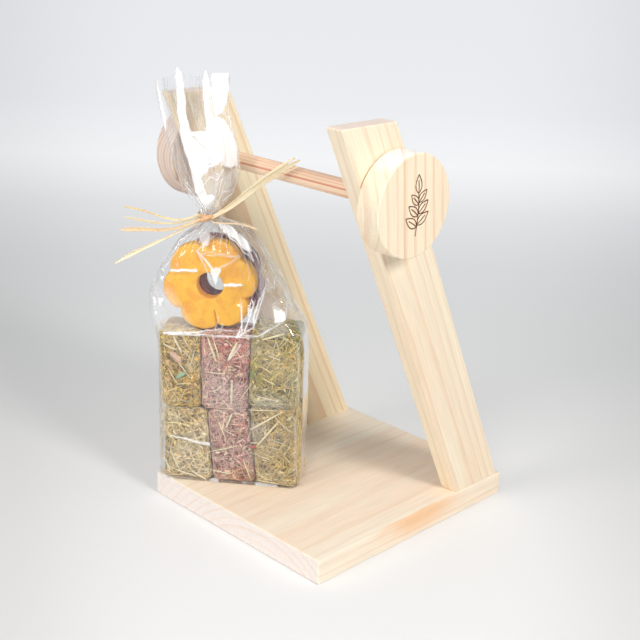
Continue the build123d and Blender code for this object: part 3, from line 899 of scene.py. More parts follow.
# %% Blades of hay
def walk_blade(tree, start, heading, length, lift, bend, cling):
    """Places and normals of a blade that walks over a surface from start."""
    steps = max(3, round(length / (2.4 * MM)))
    place, line, normals = start, [], []
    for _ in range(steps + 1):
        spot, normal, _, away = tree.find_nearest(place)
        if away > 1.6 * MM:
            break
        place = place.lerp(spot + normal * lift, cling)
        line.append(place)
        normals.append(normal)
        heading = heading - normal * (heading.dot(normal) * cling)
        heading.rotate(Quaternion(normal, bend))
        heading.normalize()
        place = place + heading * (length / steps)
    return np.array(line), np.array(normals)


def blade_prism(line, normals, width, thickness):
    """A thin closed three-sided prism along a blade."""
    sides = unit(np.cross(np.gradient(line, axis=0), normals))
    share = np.linspace(-1, 1, len(line))[:, None]
    half = width / 2 * (1 - 0.55 * share ** 4)
    ring = np.stack([line + sides * half, line + normals * thickness, line - sides * half], axis=1)
    return ring.reshape(-1, 3), tube_faces(len(line), 3)


def front_stem(first, last, depth, width):
    """A stem that lies on the front of the stack, between two places (s, h) in millimetres."""
    share = np.linspace(0, 1, 6)[:, None]
    flat = np.array(first) * (1 - share) + np.array(last) * share
    bow = 0.5 * np.sin(pi * share[:, 0])
    line = in_pack(np.stack([flat[:, 0], depth - bow, flat[:, 1]], axis=1))
    return blade_prism(line, np.tile(-pack_axes[1], (6, 1)), width * MM, 0.55 * width * MM)


# %% [markdown]
# ## Pressed hay: the mixes
#
# The six bricks differ in their herbs: meadow grass, beet root powder that dyes the hay pink, a
# golden oat mix, marigold petals and green herbs. Each mix is a list of screen colours, with how
# often each turns up, and some have flakes: short wide blades for petals and leaves. The longest
# pale stems in front are placed where the photograph shows them.

# %% Mixes of the bricks
# The dark colour of each mix's core is painted shade for the gaps between the blades.
hay_mixes = {
    "hay_brick_upper_left": dict(
        slot="blossom_hay", gap_shade=(104, 84, 44), tone=(0.84, 0.83, 0.70),
        stems=[((206, 178, 104), 5), ((190, 156, 84), 5), ((228, 204, 138), 3), ((160, 138, 74), 3),
               ((214, 186, 150), 2), ((130, 116, 62), 2), ((222, 170, 52), 2)],
        flakes=[((240, 200, 40), 6), ((226, 172, 40), 4), ((214, 178, 150), 4),
                ((196, 158, 130), 2)],
        zones=[(16, 110, 13, (236, 196, 74), 0.6), (6, 96, 9, (214, 178, 150), 0.55),
               (18, 66, 11, (214, 164, 66), 0.5), (3, 108, 8, (196, 178, 96), 0.6),
               (8, 66, 10, (206, 180, 120), 0.5)],
        placed=[(6.3, 115.3, 12.8, 101.3, 1.5), (12.1, 117.3, 19.3, 103.4, 1.3),
                (5.5, 100.7, 19.2, 81.7, 1.3), (3.1, 88.2, 10.4, 75.6, 1.1),
                (-0.3, 106.4, 9.1, 102.6, 1.6), (22.9, 103.6, 17.8, 86.3, 1.2),
                (0.7, 69.3, 13.3, 75.0, 1.0)],
        leaves=[((150, 184, 146), 8.9, 80.9, 16.3, 86.2, 3.0),
                ((206, 172, 146), 4.6, 100.5, 12.6, 93.5, 4.6),
                ((212, 186, 140), 17.6, 92.5, 20.6, 86.0, 3.6)]),
    "hay_brick_upper_middle": dict(
        slot="beet_hay", gap_shade=(112, 58, 58), tone=(0.97, 1.04, 0.92),
        stems=[((206, 150, 146), 6), ((188, 122, 120), 5), ((224, 182, 172), 4), ((164, 92, 92), 3),
               ((196, 164, 150), 3), ((214, 196, 168), 1), ((150, 70, 74), 2)],
        flakes=[((186, 74, 72), 4), ((206, 140, 138), 4), ((214, 176, 170), 3)],
        zones=[(44, 106, 15, (214, 120, 108), 0.55), (40, 74, 18, (208, 168, 166), 0.75),
               (54, 68, 14, (196, 156, 158), 0.7), (30, 92, 9, (206, 150, 158), 0.6)],
        placed=[(31.6, 115.0, 38.2, 95.7, 1.6), (35.2, 116.8, 40.3, 98.9, 1.3),
                (53.2, 111.3, 46.8, 97.1, 2.3), (30.2, 87.3, 44.7, 86.9, 1.1),
                (49.8, 82.7, 49.3, 63.1, 1.7), (42.6, 78.2, 36.8, 72.3, 1.3)]),
    "hay_brick_upper_right": dict(
        slot="herb_hay", gap_shade=(82, 76, 40), tone=(0.94, 0.90, 0.62),
        stems=[((196, 172, 110), 5), ((172, 160, 96), 5), ((150, 148, 82), 4), ((222, 204, 150), 3),
               ((176, 140, 66), 3), ((120, 128, 62), 2), ((198, 186, 150), 3)],
        flakes=[((136, 144, 60), 5), ((110, 130, 58), 3), ((196, 160, 70), 3),
                ((232, 214, 110), 1)],
        zones=[(68, 112, 13, (178, 168, 118), 0.7), (82, 100, 16, (204, 168, 88), 0.6),
               (70, 93, 12, (196, 176, 92), 0.5), (76, 70, 15, (196, 184, 150), 0.85),
               (90, 66, 10, (184, 174, 146), 0.8)],
        placed=[(71.1, 115.0, 86.6, 120.7, 1.6), (75.6, 103.2, 84.2, 100.8, 1.3),
                (64.4, 81.6, 55.8, 67.6, 1.1), (71.5, 86.0, 81.0, 81.4, 1.1),
                (67.4, 71.7, 84.9, 68.5, 1.0), (68.5, 95.8, 77.2, 91.1, 1.2)],
        leaves=[((128, 150, 66), 62.6, 84.5, 66.6, 91.5, 1.6)]),
    "hay_brick_lower_left": dict(
        slot="meadow_hay", gap_shade=(112, 96, 60), tone=(1.02, 1.00, 0.98),
        stems=[((214, 192, 146), 6), ((196, 176, 126), 5), ((226, 208, 168), 4),
               ((170, 156, 106), 3), ((196, 148, 74), 1), ((150, 142, 96), 2),
               ((206, 184, 158), 2)],
        flakes=[((188, 176, 130), 4), ((202, 156, 72), 1), ((214, 196, 160), 3)],
        zones=[(8, 44, 12, (196, 180, 136), 0.6), (22, 50, 8, (202, 162, 82), 0.75),
               (12, 24, 14, (212, 196, 146), 0.6), (14, 8, 12, (204, 176, 130), 0.6)],
        placed=[(21.2, 39.2, 27.9, 26.0, 1.2), (3.9, 23.1, 11.3, 7.3, 1.2),
                (20.4, 7.3, 30.9, 1.6, 1.5), (5.3, 8.4, 23.4, 3.5, 1.2),
                (-0.6, 17.7, 3.8, 6.6, 1.1), (2.0, 35.6, 27.0, 31.0, 1.0)]),
    "hay_brick_lower_middle": dict(
        slot="beet_hay", gap_shade=(116, 62, 58), tone=(0.86, 0.95, 0.93),
        stems=[((210, 152, 142), 6), ((192, 126, 118), 5), ((226, 186, 170), 4), ((166, 96, 90), 3),
               ((210, 168, 134), 3), ((226, 198, 158), 2), ((152, 74, 74), 2)],
        flakes=[((194, 96, 88), 4), ((208, 142, 134), 4), ((222, 178, 166), 3)],
        zones=[(48, 46, 12, (206, 138, 128), 0.5), (46, 24, 15, (214, 166, 164), 0.75),
               (56, 6, 9, (232, 172, 120), 0.6), (38, 12, 10, (206, 162, 154), 0.6)],
        placed=[(32.4, 24.0, 54.7, 30.9, 1.2), (39.8, 50.4, 45.8, 34.9, 1.3),
                (44.2, 42.8, 53.1, 38.8, 1.1), (35.4, 9.5, 50.4, 7.6, 1.3),
                (50.0, 56.2, 45.7, 44.5, 1.5), (58.6, 20.0, 64.6, 4.0, 1.2)]),
    "hay_brick_lower_right": dict(
        slot="golden_hay", gap_shade=(96, 78, 42), tone=(0.88, 0.87, 0.70),
        stems=[((202, 172, 116), 6), ((184, 152, 92), 5), ((220, 196, 146), 4), ((158, 136, 78), 3),
               ((190, 150, 72), 3), ((140, 132, 72), 2), ((204, 178, 142), 2)],
        flakes=[((176, 150, 80), 4), ((150, 146, 76), 3), ((204, 160, 74), 2)],
        zones=[(68, 48, 12, (196, 172, 150), 0.75), (82, 36, 12, (200, 170, 84), 0.6),
               (74, 20, 13, (198, 180, 134), 0.7), (88, 14, 12, (206, 184, 134), 0.7)],
        placed=[(85.8, 59.9, 63.4, 44.5, 1.6), (85.9, 55.2, 68.0, 31.2, 1.6),
                (61.7, 60.2, 82.8, 61.2, 1.4), (63.5, 34.1, 72.4, 34.9, 1.2),
                (78.4, 25.7, 87.6, 9.5, 1.1), (72.6, 21.1, 93.4, 18.2, 0.9),
                (63.6, 26.8, 80.0, 21.0, 0.9), (68.4, 4.4, 96.7, 1.8, 1.3)],
        leaves=[((176, 74, 66), 63.4, 30.2, 68.0, 31.6, 2.6)]),
}


# %% [markdown]
# ## Pressed hay: the finish and the bricks
#
# The blades bring their own colours, so one finish serves all six bricks. It reads that colour and
# adds fibres along with a little grime. Dry hay is dull, with a faint gloss on the stems. About one
# straw in five is much paler, because the older stems bleach to cream, and each mix has a tone that
# draws all its colours together.

# %% Hay material
def hay_material():
    material, tree, output, place = new_material("pressed hay")
    tint = add(tree, "Attribute", attribute_name="Tint").outputs["Color"]
    fine = clouds(tree, place, 1400.0, 3.0)
    broad = clouds(tree, place, 240.0, 4.0)
    shade = maths(tree, "MULTIPLY", ramp(tree, fine, 0.3, 0.7, 0.86, 1.12),
                  ramp(tree, broad, 0.3, 0.7, 0.84, 1.12))
    principled(tree, output, {"Base Color": vectors(tree, "SCALE", tint, shade),
                              "Roughness": 0.62, "Normal": raised(tree, fine, 0.4, 0.0002)})
    return material


def choose(rng, choices):
    """One linear colour from a list of (screen colour, how often)."""
    weights = np.array([weight for _, weight in choices], float)
    return np.array(srgb(*choices[rng.choice(len(choices), p=weights / weights.sum())][0])[:3])


def in_zones(colour, place, zones):
    """A blade's colour drawn towards that of the zones it lies in."""
    for middle_of_zone, reach, tint, amount in zones:
        weight = amount * exp(-((place - middle_of_zone).length / reach) ** 2)
        shade = colour.mean() / 0.5
        colour = colour * (1 - weight) + tint * (0.55 + 0.45 * shade) * weight
    return colour


def lay_hay(name, mix, seed):
    """A brick of pressed hay in the place of its plain solid."""
    rng = np.random.default_rng(seed)
    points, smooth, faces = dense_surface(name, voxel=1.5 * MM, sink=0.85 * MM, rough=0.8 * MM)
    tree = BVHTree.FromPolygons(smooth, faces)
    low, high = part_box(name)
    count = int(blades_per_brick * (high.z - low.z) / (58 * MM))
    tone = np.array(mix["tone"])
    # painted shade: the core's dark colour stands for the shadow among the stems
    gap_shade = 1.05 * np.array(srgb(*mix["gap_shade"])[:3])
    cream = np.array(srgb(*pale_stem)[:3]) * (0.45 + 0.5 * tone)
    zones = [(Vector(in_pack([[s, 0.0, h]])[0]), reach * MM, np.array(srgb(*colour)[:3]), amount)
             for s, h, reach, colour, amount in mix["zones"]]
    parts, tints = [(np.array(points), faces)], [np.tile(gap_shade, (len(points), 1))]
    chosen = rng.integers(0, len(points), count)
    for blade, index in enumerate(chosen):
        flake = rng.random() < flake_share
        length = rng.uniform(1.8, 4.2) if flake else 4 + 24 * rng.random() ** 2.0
        width = rng.uniform(0.9, 2.2) if flake else 0.26 + 0.75 * rng.random() ** 3
        layer = blade / count
        lift = (-0.25 + 0.60 * layer + 0.35 * rng.random()) * MM
        heading = Vector(rng.normal(0, 1, 3)).normalized()
        line, normals = walk_blade(tree, smooth[index], heading, length * MM, lift,
                                   rng.normal(0, 0.035), rng.choice([0.95, 0.5], p=[0.8, 0.2]))
        if len(line) < 3:
            continue
        prism = blade_prism(line, normals, width * MM, (0.18 + 0.22 * width) * MM)
        colour = choose(rng, mix["flakes"] if flake else mix["stems"])
        colour = in_zones(colour, points[index], zones) * tone * rng.normal(1.0, 0.20)
        # painted shade: blades laid early lie lower and are darkened, the last ones on top are
        # lightened
        colour = colour * (0.94 + 0.34 * layer)
        if rng.random() < cream_share:
            colour = 0.4 * colour + 0.6 * cream * rng.uniform(0.85, 1.05)
        parts.append(prism)
        tints.append(np.tile(colour, (len(prism[0]), 1)))
    for *ends, width in mix["placed"]:
        seen_width = (0.94 if width > 1.4 else 0.62) * width
        prism = front_stem(ends[:2], ends[2:], -0.7, seen_width)
        parts.append(prism)
        tints.append(np.tile(cream * rng.normal(1, 0.07), (len(prism[0]), 1)))
    for colour, *ends, width in mix.get("leaves", []):
        prism = front_stem(ends[:2], ends[2:], -0.5, width)
        parts.append(prism)
        tints.append(np.tile(np.array(srgb(*colour)[:3]), (len(prism[0]), 1)))
    all_points, all_faces = join_parts(parts)
    brick = make_piece(name + "_pressed", all_points, all_faces, "snack_pack",
                       [pressed_hay], (name,), smooth=False)
    tint_points(brick, np.clip(np.concatenate(tints), 0, 0.92))
    return brick


# %% Lay the bricks
blades_per_brick = 3600
flake_share, cream_share = 0.16, 0.22
pale_stem = (252, 240, 206)
pressed_hay = hay_material()
for seed, (name, mix) in enumerate(hay_mixes.items(), start=101):
    brick = lay_hay(name, mix, seed)
    print(brick.name, len(brick.data.polygons), "faces")

# %% [markdown]
# ## Flower biscuits
#
# Two biscuits shaped as six-petalled flowers, one yellow and one beet red, with a hole to thread
# them on the bar. They are stamped from dough and baked: flat faces, softly rounded rims and small
# dents all over. The outline is six circles round the middle, so its radius is known at each angle.
# Two valleys of the yellow one are cut deeper, and a slit runs in from its lower edge. A rounded
# cross-section is swept round that outline, and noise pushes the points in and out.

# %% Shape of a biscuit
def petal_outline(angles, cuts, petal=17.4, reach=16.3, petals=6):
    """How far the outline of a flower with round petals is from its middle, in millimetres."""
    spread = 2 * pi / petals
    away = (angles + spread / 2) % spread - spread / 2
    radii = reach * np.cos(away) + np.sqrt(petal ** 2 - (reach * np.sin(away)) ** 2)
    for where, depth in cuts:
        off = np.abs((angles - radians(where) + pi) % (2 * pi) - pi)
        radii = radii - depth * np.exp(-off / radians(5.0))
    return (np.roll(radii, 1) + 4 * radii + np.roll(radii, -1)) / 6


def dough_profile(thick, rim=1.5, lip=0.8):
    """The cross-section from the hole to the rim: (share of the way out, step in mm, height)."""
    top = thick / 2
    turn = np.linspace(0, pi / 2, 7)
    points = [(k, lip * (1 - k) - rim * k, top) for k in np.linspace(0, 1, 26)]
    points += [(1, -rim + rim * sin(a), top - rim + rim * cos(a)) for a in turn[1:]]
    points += [(1, 0, z) for z in np.linspace(top - rim, rim - top, 6)[1:-1]]
    points += [(1, -rim + rim * cos(a), rim - top - rim * sin(a)) for a in turn]
    points += [(k, lip * (1 - k) - rim * k, -top) for k in np.linspace(1, 0, 14)[1:]]
    points += [(0, lip - lip * sin(a), lip - top - lip * cos(a)) for a in turn[1:]]
    points += [(0, 0, z) for z in np.linspace(lip - top, top - lip, 6)[1:-1]]
    points += [(0, lip - lip * cos(a), top - lip + lip * sin(a)) for a in turn[:-1]]
    return points


hole_radius, biscuit_thick = 9.75, 10.0


def bake_biscuit(node, turn, cuts, material, seed, slit=None):
    """A biscuit in its solid's place. cuts are (angle from a petal, depth) of the deep notches."""
    low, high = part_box(node)
    middle = np.array((low + high) / 2)
    angles = np.linspace(0, 2 * pi, 360, endpoint=False)
    outer = petal_outline(angles - radians(turn), cuts)
    between = (angles - radians(turn)) % (pi / 3) - pi / 6
    valleys = np.exp(-np.abs(between) / radians(4.5))
    profile = dough_profile(biscuit_thick)
    points = []
    for angle, radius, valley in zip(angles, outer, valleys):
        split = slit is not None and abs(angle - radians(slit)) < radians(1.2)
        for share, step, height in profile:
            out = (hole_radius + (radius - hole_radius) * share + step) * MM
            height = height * (1 - 0.16 * valley * share ** 4)
            if split and share > 0.45:
                height = height * 0.35
            points.append(middle + pack_axes[0] * out * cos(angle) + pack_axes[2] * out * sin(angle)
                          - pack_axes[1] * height * MM)
    count = len(profile)
    faces = []
    for ring in range(len(angles)):
        here, there = ring * count, (ring + 1) % len(angles) * count
        for side in range(count):
            after = (side + 1) % count
            faces.append((here + side, there + side, there + after, here + after))
    biscuit = make_piece(node + "_baked", points, faces, "snack_pack", [material], (node,))
    shift = Vector((seed * 0.37, seed * 0.11, 0))
    moved = []
    for place, normal in [(v.co.copy(), v.normal.copy()) for v in biscuit.data.vertices]:
        spot = place + shift
        lumps = 0.34 * noise.noise(spot * 75) + 0.22 * noise.noise(spot * 230)
        pits = max(0.0, noise.noise(spot * 340 + Vector((9, 4, 2))) - 0.25)
        moved.append(place + normal * (lumps - 0.15 - 0.5 * pits) * MM)
    biscuit.data.vertices.foreach_set("co", np.array(moved, np.float32).ravel())
    biscuit.data.update()
    return biscuit


# %% [markdown]
# ## Flower biscuits: the finish
#
# Baked dough with ground vegetables has a strong warm colour that is never even: darker clouds
# where the dough baked longer, pale crumbs and small dark specks. The faces are dull with a faint
# sheen.

# %% Biscuit material
def baked_dough(name, base, cloud, crumb, speck):
    material, tree, output, place = new_material(name)
    browned = clouds(tree, place, 85.0, 4.0, 0.6)
    crumbs = clouds(tree, place, 620.0, 4.0)
    specks = add(tree, "TexVoronoi", {"Vector": place, "Scale": 420.0}).outputs["Distance"]
    colour = mixed(tree, ramp(tree, browned, 0.42, 0.62), srgb(*base), srgb(*cloud))
    colour = mixed(tree, ramp(tree, crumbs, 0.56, 0.72, 0.0, 0.55), colour, srgb(*crumb))
    colour = mixed(tree, ramp(tree, specks, 0.10, 0.24, 0.45, 0.0), colour, srgb(*speck))
    principled(tree, output, {"Base Color": colour, "Normal": raised(tree, crumbs, 0.55, 0.0004),
                              "Roughness": ramp(tree, browned, 0.3, 0.7, 0.5, 0.68)})
    return material


bake_biscuit("biscuit_yellow", 12, [(-30, 3.2), (210, 1.8)], baked_dough(
    "yellow dough", (253, 190, 22), (243, 168, 18), (255, 208, 66), (212, 136, 16)), 1, slit=280)
bake_biscuit("biscuit_red", 42, [], baked_dough(
    "beet dough", (126, 34, 54), (88, 18, 36), (168, 84, 92), (60, 10, 24)), 2)
print("biscuits baked")

# %% [markdown]
# ## Clear film: the bag's smooth shape
#
# The bag is one thin clear film. It stands square round the six bricks, narrows over the biscuits
# and is gathered into a tight neck. That smooth shape comes first, as level loops: at each height a
# rectangle with round corners, and at the neck a circle. Every loop has the same number of evenly
# spaced points, counted from the middle of the back, so a column of points runs straight up the
# film.

# %% Loops of the bag
bag_levels = np.array([
    # height, left, right, front, back, corner radius
    (0.0, -4.5, 100.6, -4.2, 36.2, 7.0), (60.0, -4.5, 101.4, -4.2, 36.2, 7.0),
    (104.0, -4.6, 100.8, -4.2, 36.2, 7.0), (118.0, -6.4, 99.4, -4.0, 36.0, 7.0),
    (124.0, -9.6, 96.4, -3.2, 35.8, 7.4), (130.0, -11.4, 92.2, -1.8, 35.2, 7.6),
    (142.6, -12.0, 86.8, 1.4, 33.8, 8.0), (155.0, -8.4, 81.4, 2.2, 32.4, 8.6),
    (163.6, -4.6, 75.6, 2.8, 31.4, 9.0), (183.1, 9.6, 64.0, 4.3, 29.8, 9.0),
    (190.5, 18.6, 60.0, 4.2, 21.0, 7.4), (194.6, 22.6, 56.0, 4.4, 18.4, 6.4),
    (197.4, 23.9, 47.0, 4.4, 16.8, 6.1), (199.0, 23.9, 36.1, 4.4, 16.6, 6.1),
    (204.1, 23.9, 36.1, 4.4, 16.6, 6.1),
])


def read_off(values, keys, table):
    """Each column of a table at the given values, between the rows' keys."""
    return np.stack([np.interp(values, keys, column) for column in np.transpose(table)], axis=-1)


def level_at(heights, levels, blur):
    """The level's values at each height, with the corners between the levels smoothed."""
    return np.mean([read_off(heights + shift, levels[:, 0], levels[:, 1:])
                    for shift in np.linspace(-blur, blur, 9)], axis=0)


def rounded_loop(left, right, front, back, radius, count):
    """Evenly spaced points (s, d) and outward directions round a rectangle with round corners."""
    radius = min(radius, (right - left) / 2 - 0.01, (back - front) / 2 - 0.01)
    start = [((left + right) / 2, back, 0.0, 1.0)]
    dense = [start]
    for centre_s, centre_d, first in ((left + radius, back - radius, 90),
                                      (left + radius, front + radius, 180),
                                      (right - radius, front + radius, 270),
                                      (right - radius, back - radius, 0)):
        angles = np.radians(np.linspace(first, first + 90, 24))
        out_s, out_d = np.cos(angles), np.sin(angles)
        dense.append(np.stack([centre_s + radius * out_s, centre_d + radius * out_d,
                               out_s, out_d], axis=1))
    dense = np.concatenate(dense + [start])
    way = ways_along(dense[:, :2])
    return read_off(np.linspace(0, way[-1], count, endpoint=False), way, dense)


# %% [markdown]
# ## Clear film: folds and pleats
#
# Film never hangs smooth. It keeps every crease as a straight sharp ridge between two flat sides,
# and it is those flat sides, each tilted its own way, that throw back a lamp as a hard-edged patch.
# So the surface gets straight folds, each a ridge with a tent-shaped section. Many are random, more
# and steeper over the biscuits, where the film is slack. The ones that the photograph shows clearly
# in front are listed. The white patches there are listed too, in two kinds: bands that run along a
# crease and widen on their way, and flat facets with a straight-edged outline. They are painted
# highlight and painted reflection, partly the creases' own whitening. Towards the neck the spare
# width turns into pleats.

# %% Folds and pleats
def lay_folds(across, upward, folds):
    """Height and whiteness that straight folds (x0, y0, x1, y1, width, amount) give a sheet."""
    total, white = np.zeros_like(across), np.zeros_like(across)
    for x0, y0, x1, y1, width, amount in folds:
        run = np.hypot(x1 - x0, y1 - y0)
        step_x, step_y = (x1 - x0) / run, (y1 - y0) / run
        along = ((across - x0) * step_x + (upward - y0) * step_y) / run
        off = np.abs((across - x0) * step_y - (upward - y0) * step_x)
        window = np.clip(np.minimum(along, 1 - along) * 5, 0, 1)
        total += amount * window * np.clip(1 - off / width, 0, 1)
        # the white line along each ridge: partly the crease's own whitening, partly painted highlight
        white = np.maximum(white, window * np.exp(-(off / 0.5) ** 2) * min(1.0, abs(amount)))
    return total, white


def lay_white_bands(across, upward, painted_marks):
    """Whiteness of bands, painted highlight: each how white, then the (s, h, width) of the points
    on its way.
    """
    total = np.zeros_like(across)
    stretches = [(amount, *ends) for amount, *points in painted_marks for ends in zip(points, points[1:])]
    for amount, (x0, y0, wide_start), (x1, y1, wide_end) in stretches:
        run = np.hypot(x1 - x0, y1 - y0)
        along = ((across - x0) * (x1 - x0) + (upward - y0) * (y1 - y0)) / run ** 2
        beyond = (np.abs(along - 0.5) - 0.5).clip(0) * run
        along = np.clip(along, 0, 1)
        off = ((across - x0) * (y1 - y0) - (upward - y0) * (x1 - x0)) / run
        off = off + 0.4 * np.sin(0.3 * run * along + x0) * np.sin(pi * along)
        half = (wide_start + (wide_end - wide_start) * along) / 2
        threads = 0.95 + 0.05 * np.sin(3.1 * off + 0.4 * run * along + y0)
        inside = np.clip((half + 0.1 - np.hypot(off, beyond)) / 0.45, 0, 1)
        total = np.maximum(total, amount * inside * threads)
    return total


def lay_facets(across, upward, facets):
    """Whiteness of flat facets: each how white, then the (s, h) corners of a convex outline."""
    total = np.zeros_like(across)
    for amount, *corners in facets:
        after = corners[1:] + corners[:1]
        turn = np.sign(sum(x0 * y1 - x1 * y0 for (x0, y0), (x1, y1) in zip(corners, after)))
        inside = np.full_like(across, 9.0)
        for (x0, y0), (x1, y1) in zip(corners, after):
            away = ((x1 - x0) * (upward - y0) - (y1 - y0) * (across - x0)) * turn
            inside = np.minimum(inside, away / np.hypot(x1 - x0, y1 - y0))
        inside = inside + 0.3 * np.sin(0.9 * across + 0.6 * upward)
        edge = 0.6 if amount > 0.7 else 5.0
        total = np.maximum(total, amount * np.clip(inside / edge, 0, 1))
    return total


def random_folds(rng, count, left, right, bottom, top, lean, longest, strength):
    """Straight folds in a rectangle. lean is how far they may turn from upright, in degrees."""
    folds = []
    for _ in range(count):
        x, y = rng.uniform(left, right), rng.uniform(bottom, top)
        angle = radians(90 + rng.uniform(-lean, lean))
        length = rng.uniform(0.35, 1.0) * longest
        amount = rng.choice([-0.7, 1.0]) * strength * rng.uniform(0.4, 1.0)
        folds.append((x, y, x + length * cos(angle), y + length * sin(angle),
                      rng.uniform(3.0, 11.0), amount))
    return folds


film_around = 284.0
film_random = np.random.default_rng(7)
bag_folds = (random_folds(film_random, 60, 0, film_around, 4, 100, 75, 42, 0.5)
             + random_folds(film_random, 50, 0, film_around, 96, 132, 85, 34, 0.9)
             + random_folds(film_random, 90, 0, film_around, 118, 182, 32, 40, 1.25)
             + random_folds(film_random, 36, 0, film_around, 118, 168, 85, 24, 1.0))
front_folds = [
    (0.3, 115.6, 30.6, 116.4, 2.4, 0.9), (30.6, 116.4, 68.5, 117.8, 2.4, 0.9),
    (68.5, 117.8, 87.4, 131.9, 2.4, 0.8), (55.4, 144.3, 57.8, 117.0, 4.0, 1.0),
    (66.0, 145.1, 57.8, 117.0, 4.0, 1.0), (78.0, 140.6, 85.9, 136.9, 3.0, 0.9),
    (85.9, 146.6, 87.9, 131.3, 3.0, 0.9), (87.9, 131.3, 79.7, 129.9, 3.0, 0.9),
    (23.6, 176.4, 53.4, 173.8, 2.4, 0.4), (23.6, 176.4, 35.5, 162.7, 2.4, 0.4),
    (53.4, 173.8, 41.1, 164.3, 2.4, 0.4), (37.5, 199.7, 63.1, 179.9, 3.6, 1.4),
    (43.4, 192.9, 62.8, 173.9, 2.6, 1.0), (57.9, 113.2, 47.2, 97.9, 3.0, 0.6),
    (4.5, 37.0, 32.8, 32.3, 2.6, 0.6), (41.0, 117.4, 44.0, 127.0, 2.0, 0.5),
    (73.1, 154.9, 65.3, 124.8, 3.0, 1.0), (74.9, 177.0, 78.9, 150.4, 3.0, 1.1),
]
# White bands in front, partly crease whitening and partly painted highlight: how white, then the
# (s, h, width) of the points on their way.
front_glint_bands = [
    (1.0, (5.1, 160.5, 1.8), (22.9, 161.8, 2.4)), (1.0, (43.6, 152.6, 2.2), (50.8, 153.2, 2.4)),
    (1.0, (51.6, 153.0, 2.2), (55.4, 153.4, 1.6)), (0.7, (9.8, 166.4, 0.8), (9.7, 163.4, 0.8)),
    (1.0, (39.5, 193.0, 0.9), (54.1, 180.3, 1.3)), (0.95, (54.1, 180.3, 1.3), (63.2, 170.6, 0.8)),
    (0.9, (54.0, 187.0, 0.9), (63.5, 171.4, 1.2)), (0.8, (63.1, 178.4, 1.2), (68.0, 169.0, 0.7)),
    (0.6, (50.4, 186.4, 0.7), (58.6, 170.4, 0.6)), (0.5, (46.4, 189.0, 0.6), (51.0, 178.0, 0.6)),
    (0.55, (23.6, 176.4, 1.0), (34.0, 186.2, 2.6)), (0.35, (36.5, 187.6, 0.8), (48.9, 174.1, 0.7)),
    (0.5, (23.6, 175.2, 0.9), (31.4, 173.2, 0.9)), (0.6, (30.6, 173.3, 1.0), (53.6, 173.7, 1.0)),
    (0.75, (23.4, 176.0, 0.9), (33.4, 156.5, 0.9)), (0.85, (23.8, 175.8, 0.9), (36.0, 162.2, 2.2)),
    (0.45, (53.6, 173.9, 0.7), (46.0, 168.2, 0.8)), (0.55, (46.6, 168.8, 0.8), (38.0, 163.4, 1.4)),
    (0.8, (73.3, 155.2, 0.8), (68.2, 143.4, 1.2)), (0.85, (68.3, 143.8, 1.2), (66.0, 135.8, 1.8)),
    (0.9, (66.0, 136.6, 1.8), (65.3, 124.6, 1.2)), (0.9, (57.1, 127.2, 0.9), (53.2, 116.4, 0.9)),
    (0.9, (65.6, 124.8, 1.0), (53.4, 116.8, 1.6)), (0.3, (39.6, 132.0, 0.7), (39.5, 127.0, 0.9)),
    (0.45, (39.5, 127.6, 0.9), (37.2, 119.4, 0.8)), (1.0, (1.0, 116.0, 1.5), (13.4, 117.4, 2.1)),
    (0.8, (13.0, 116.6, 2.2), (30.0, 119.4, 1.2)), (0.8, (16.3, 116.7, 0.9), (40.9, 121.7, 1.0)),
    (0.75, (40.5, 121.7, 1.0), (56.5, 121.5, 0.8)), (0.85, (17.2, 116.6, 0.9), (39.8, 116.9, 0.9)),
    (0.9, (39.4, 116.9, 1.0), (68.6, 118.8, 0.9)), (0.8, (68.2, 118.7, 0.9), (87.2, 131.2, 0.8)),
    (0.85, (77.5, 140.6, 0.7), (85.9, 146.7, 0.7)), (0.8, (85.8, 146.8, 0.8), (86.4, 139.8, 0.8)),
    (0.9, (78.0, 139.8, 0.6), (87.2, 133.4, 0.6)), (0.7, (80.0, 142.6, 0.6), (86.0, 138.6, 0.6)),
    (0.6, (71.8, 171.6, 0.7), (71.0, 165.8, 0.7)), (0.55, (74.2, 178.0, 0.7), (73.4, 164.6, 0.7)),
    (0.6, (73.4, 160.0, 0.6), (79.0, 150.2, 0.6)), (0.6, (73.8, 151.2, 0.6), (80.5, 156.2, 0.6)),
    (0.5, (84.9, 161.6, 0.6), (83.2, 154.6, 0.6)), (0.34, (70.4, 174.0, 3.4), (69.4, 152.0, 3.8)),
    (0.5, (24.0, 198.0, 1.4), (12.0, 186.0, 0.6)), (0.7, (28.8, 196.6, 1.2), (26.4, 189.0, 2.0)),
    (0.5, (36.4, 194.6, 2.4), (35.0, 188.6, 1.0)), (0.5, (40.5, 198.8, 0.8), (53.6, 197.0, 0.6)),
    (0.75, (4.5, 36.8, 0.9), (33.5, 32.0, 3.0)), (0.3, (97.2, 112.0, 2.2), (98.6, 62.0, 1.2)),
    (0.25, (96.4, 60.0, 1.2), (97.8, 10.0, 2.6)), (0.35, (-2.4, 112.0, 1.4), (-2.0, 64.0, 0.8)),
]
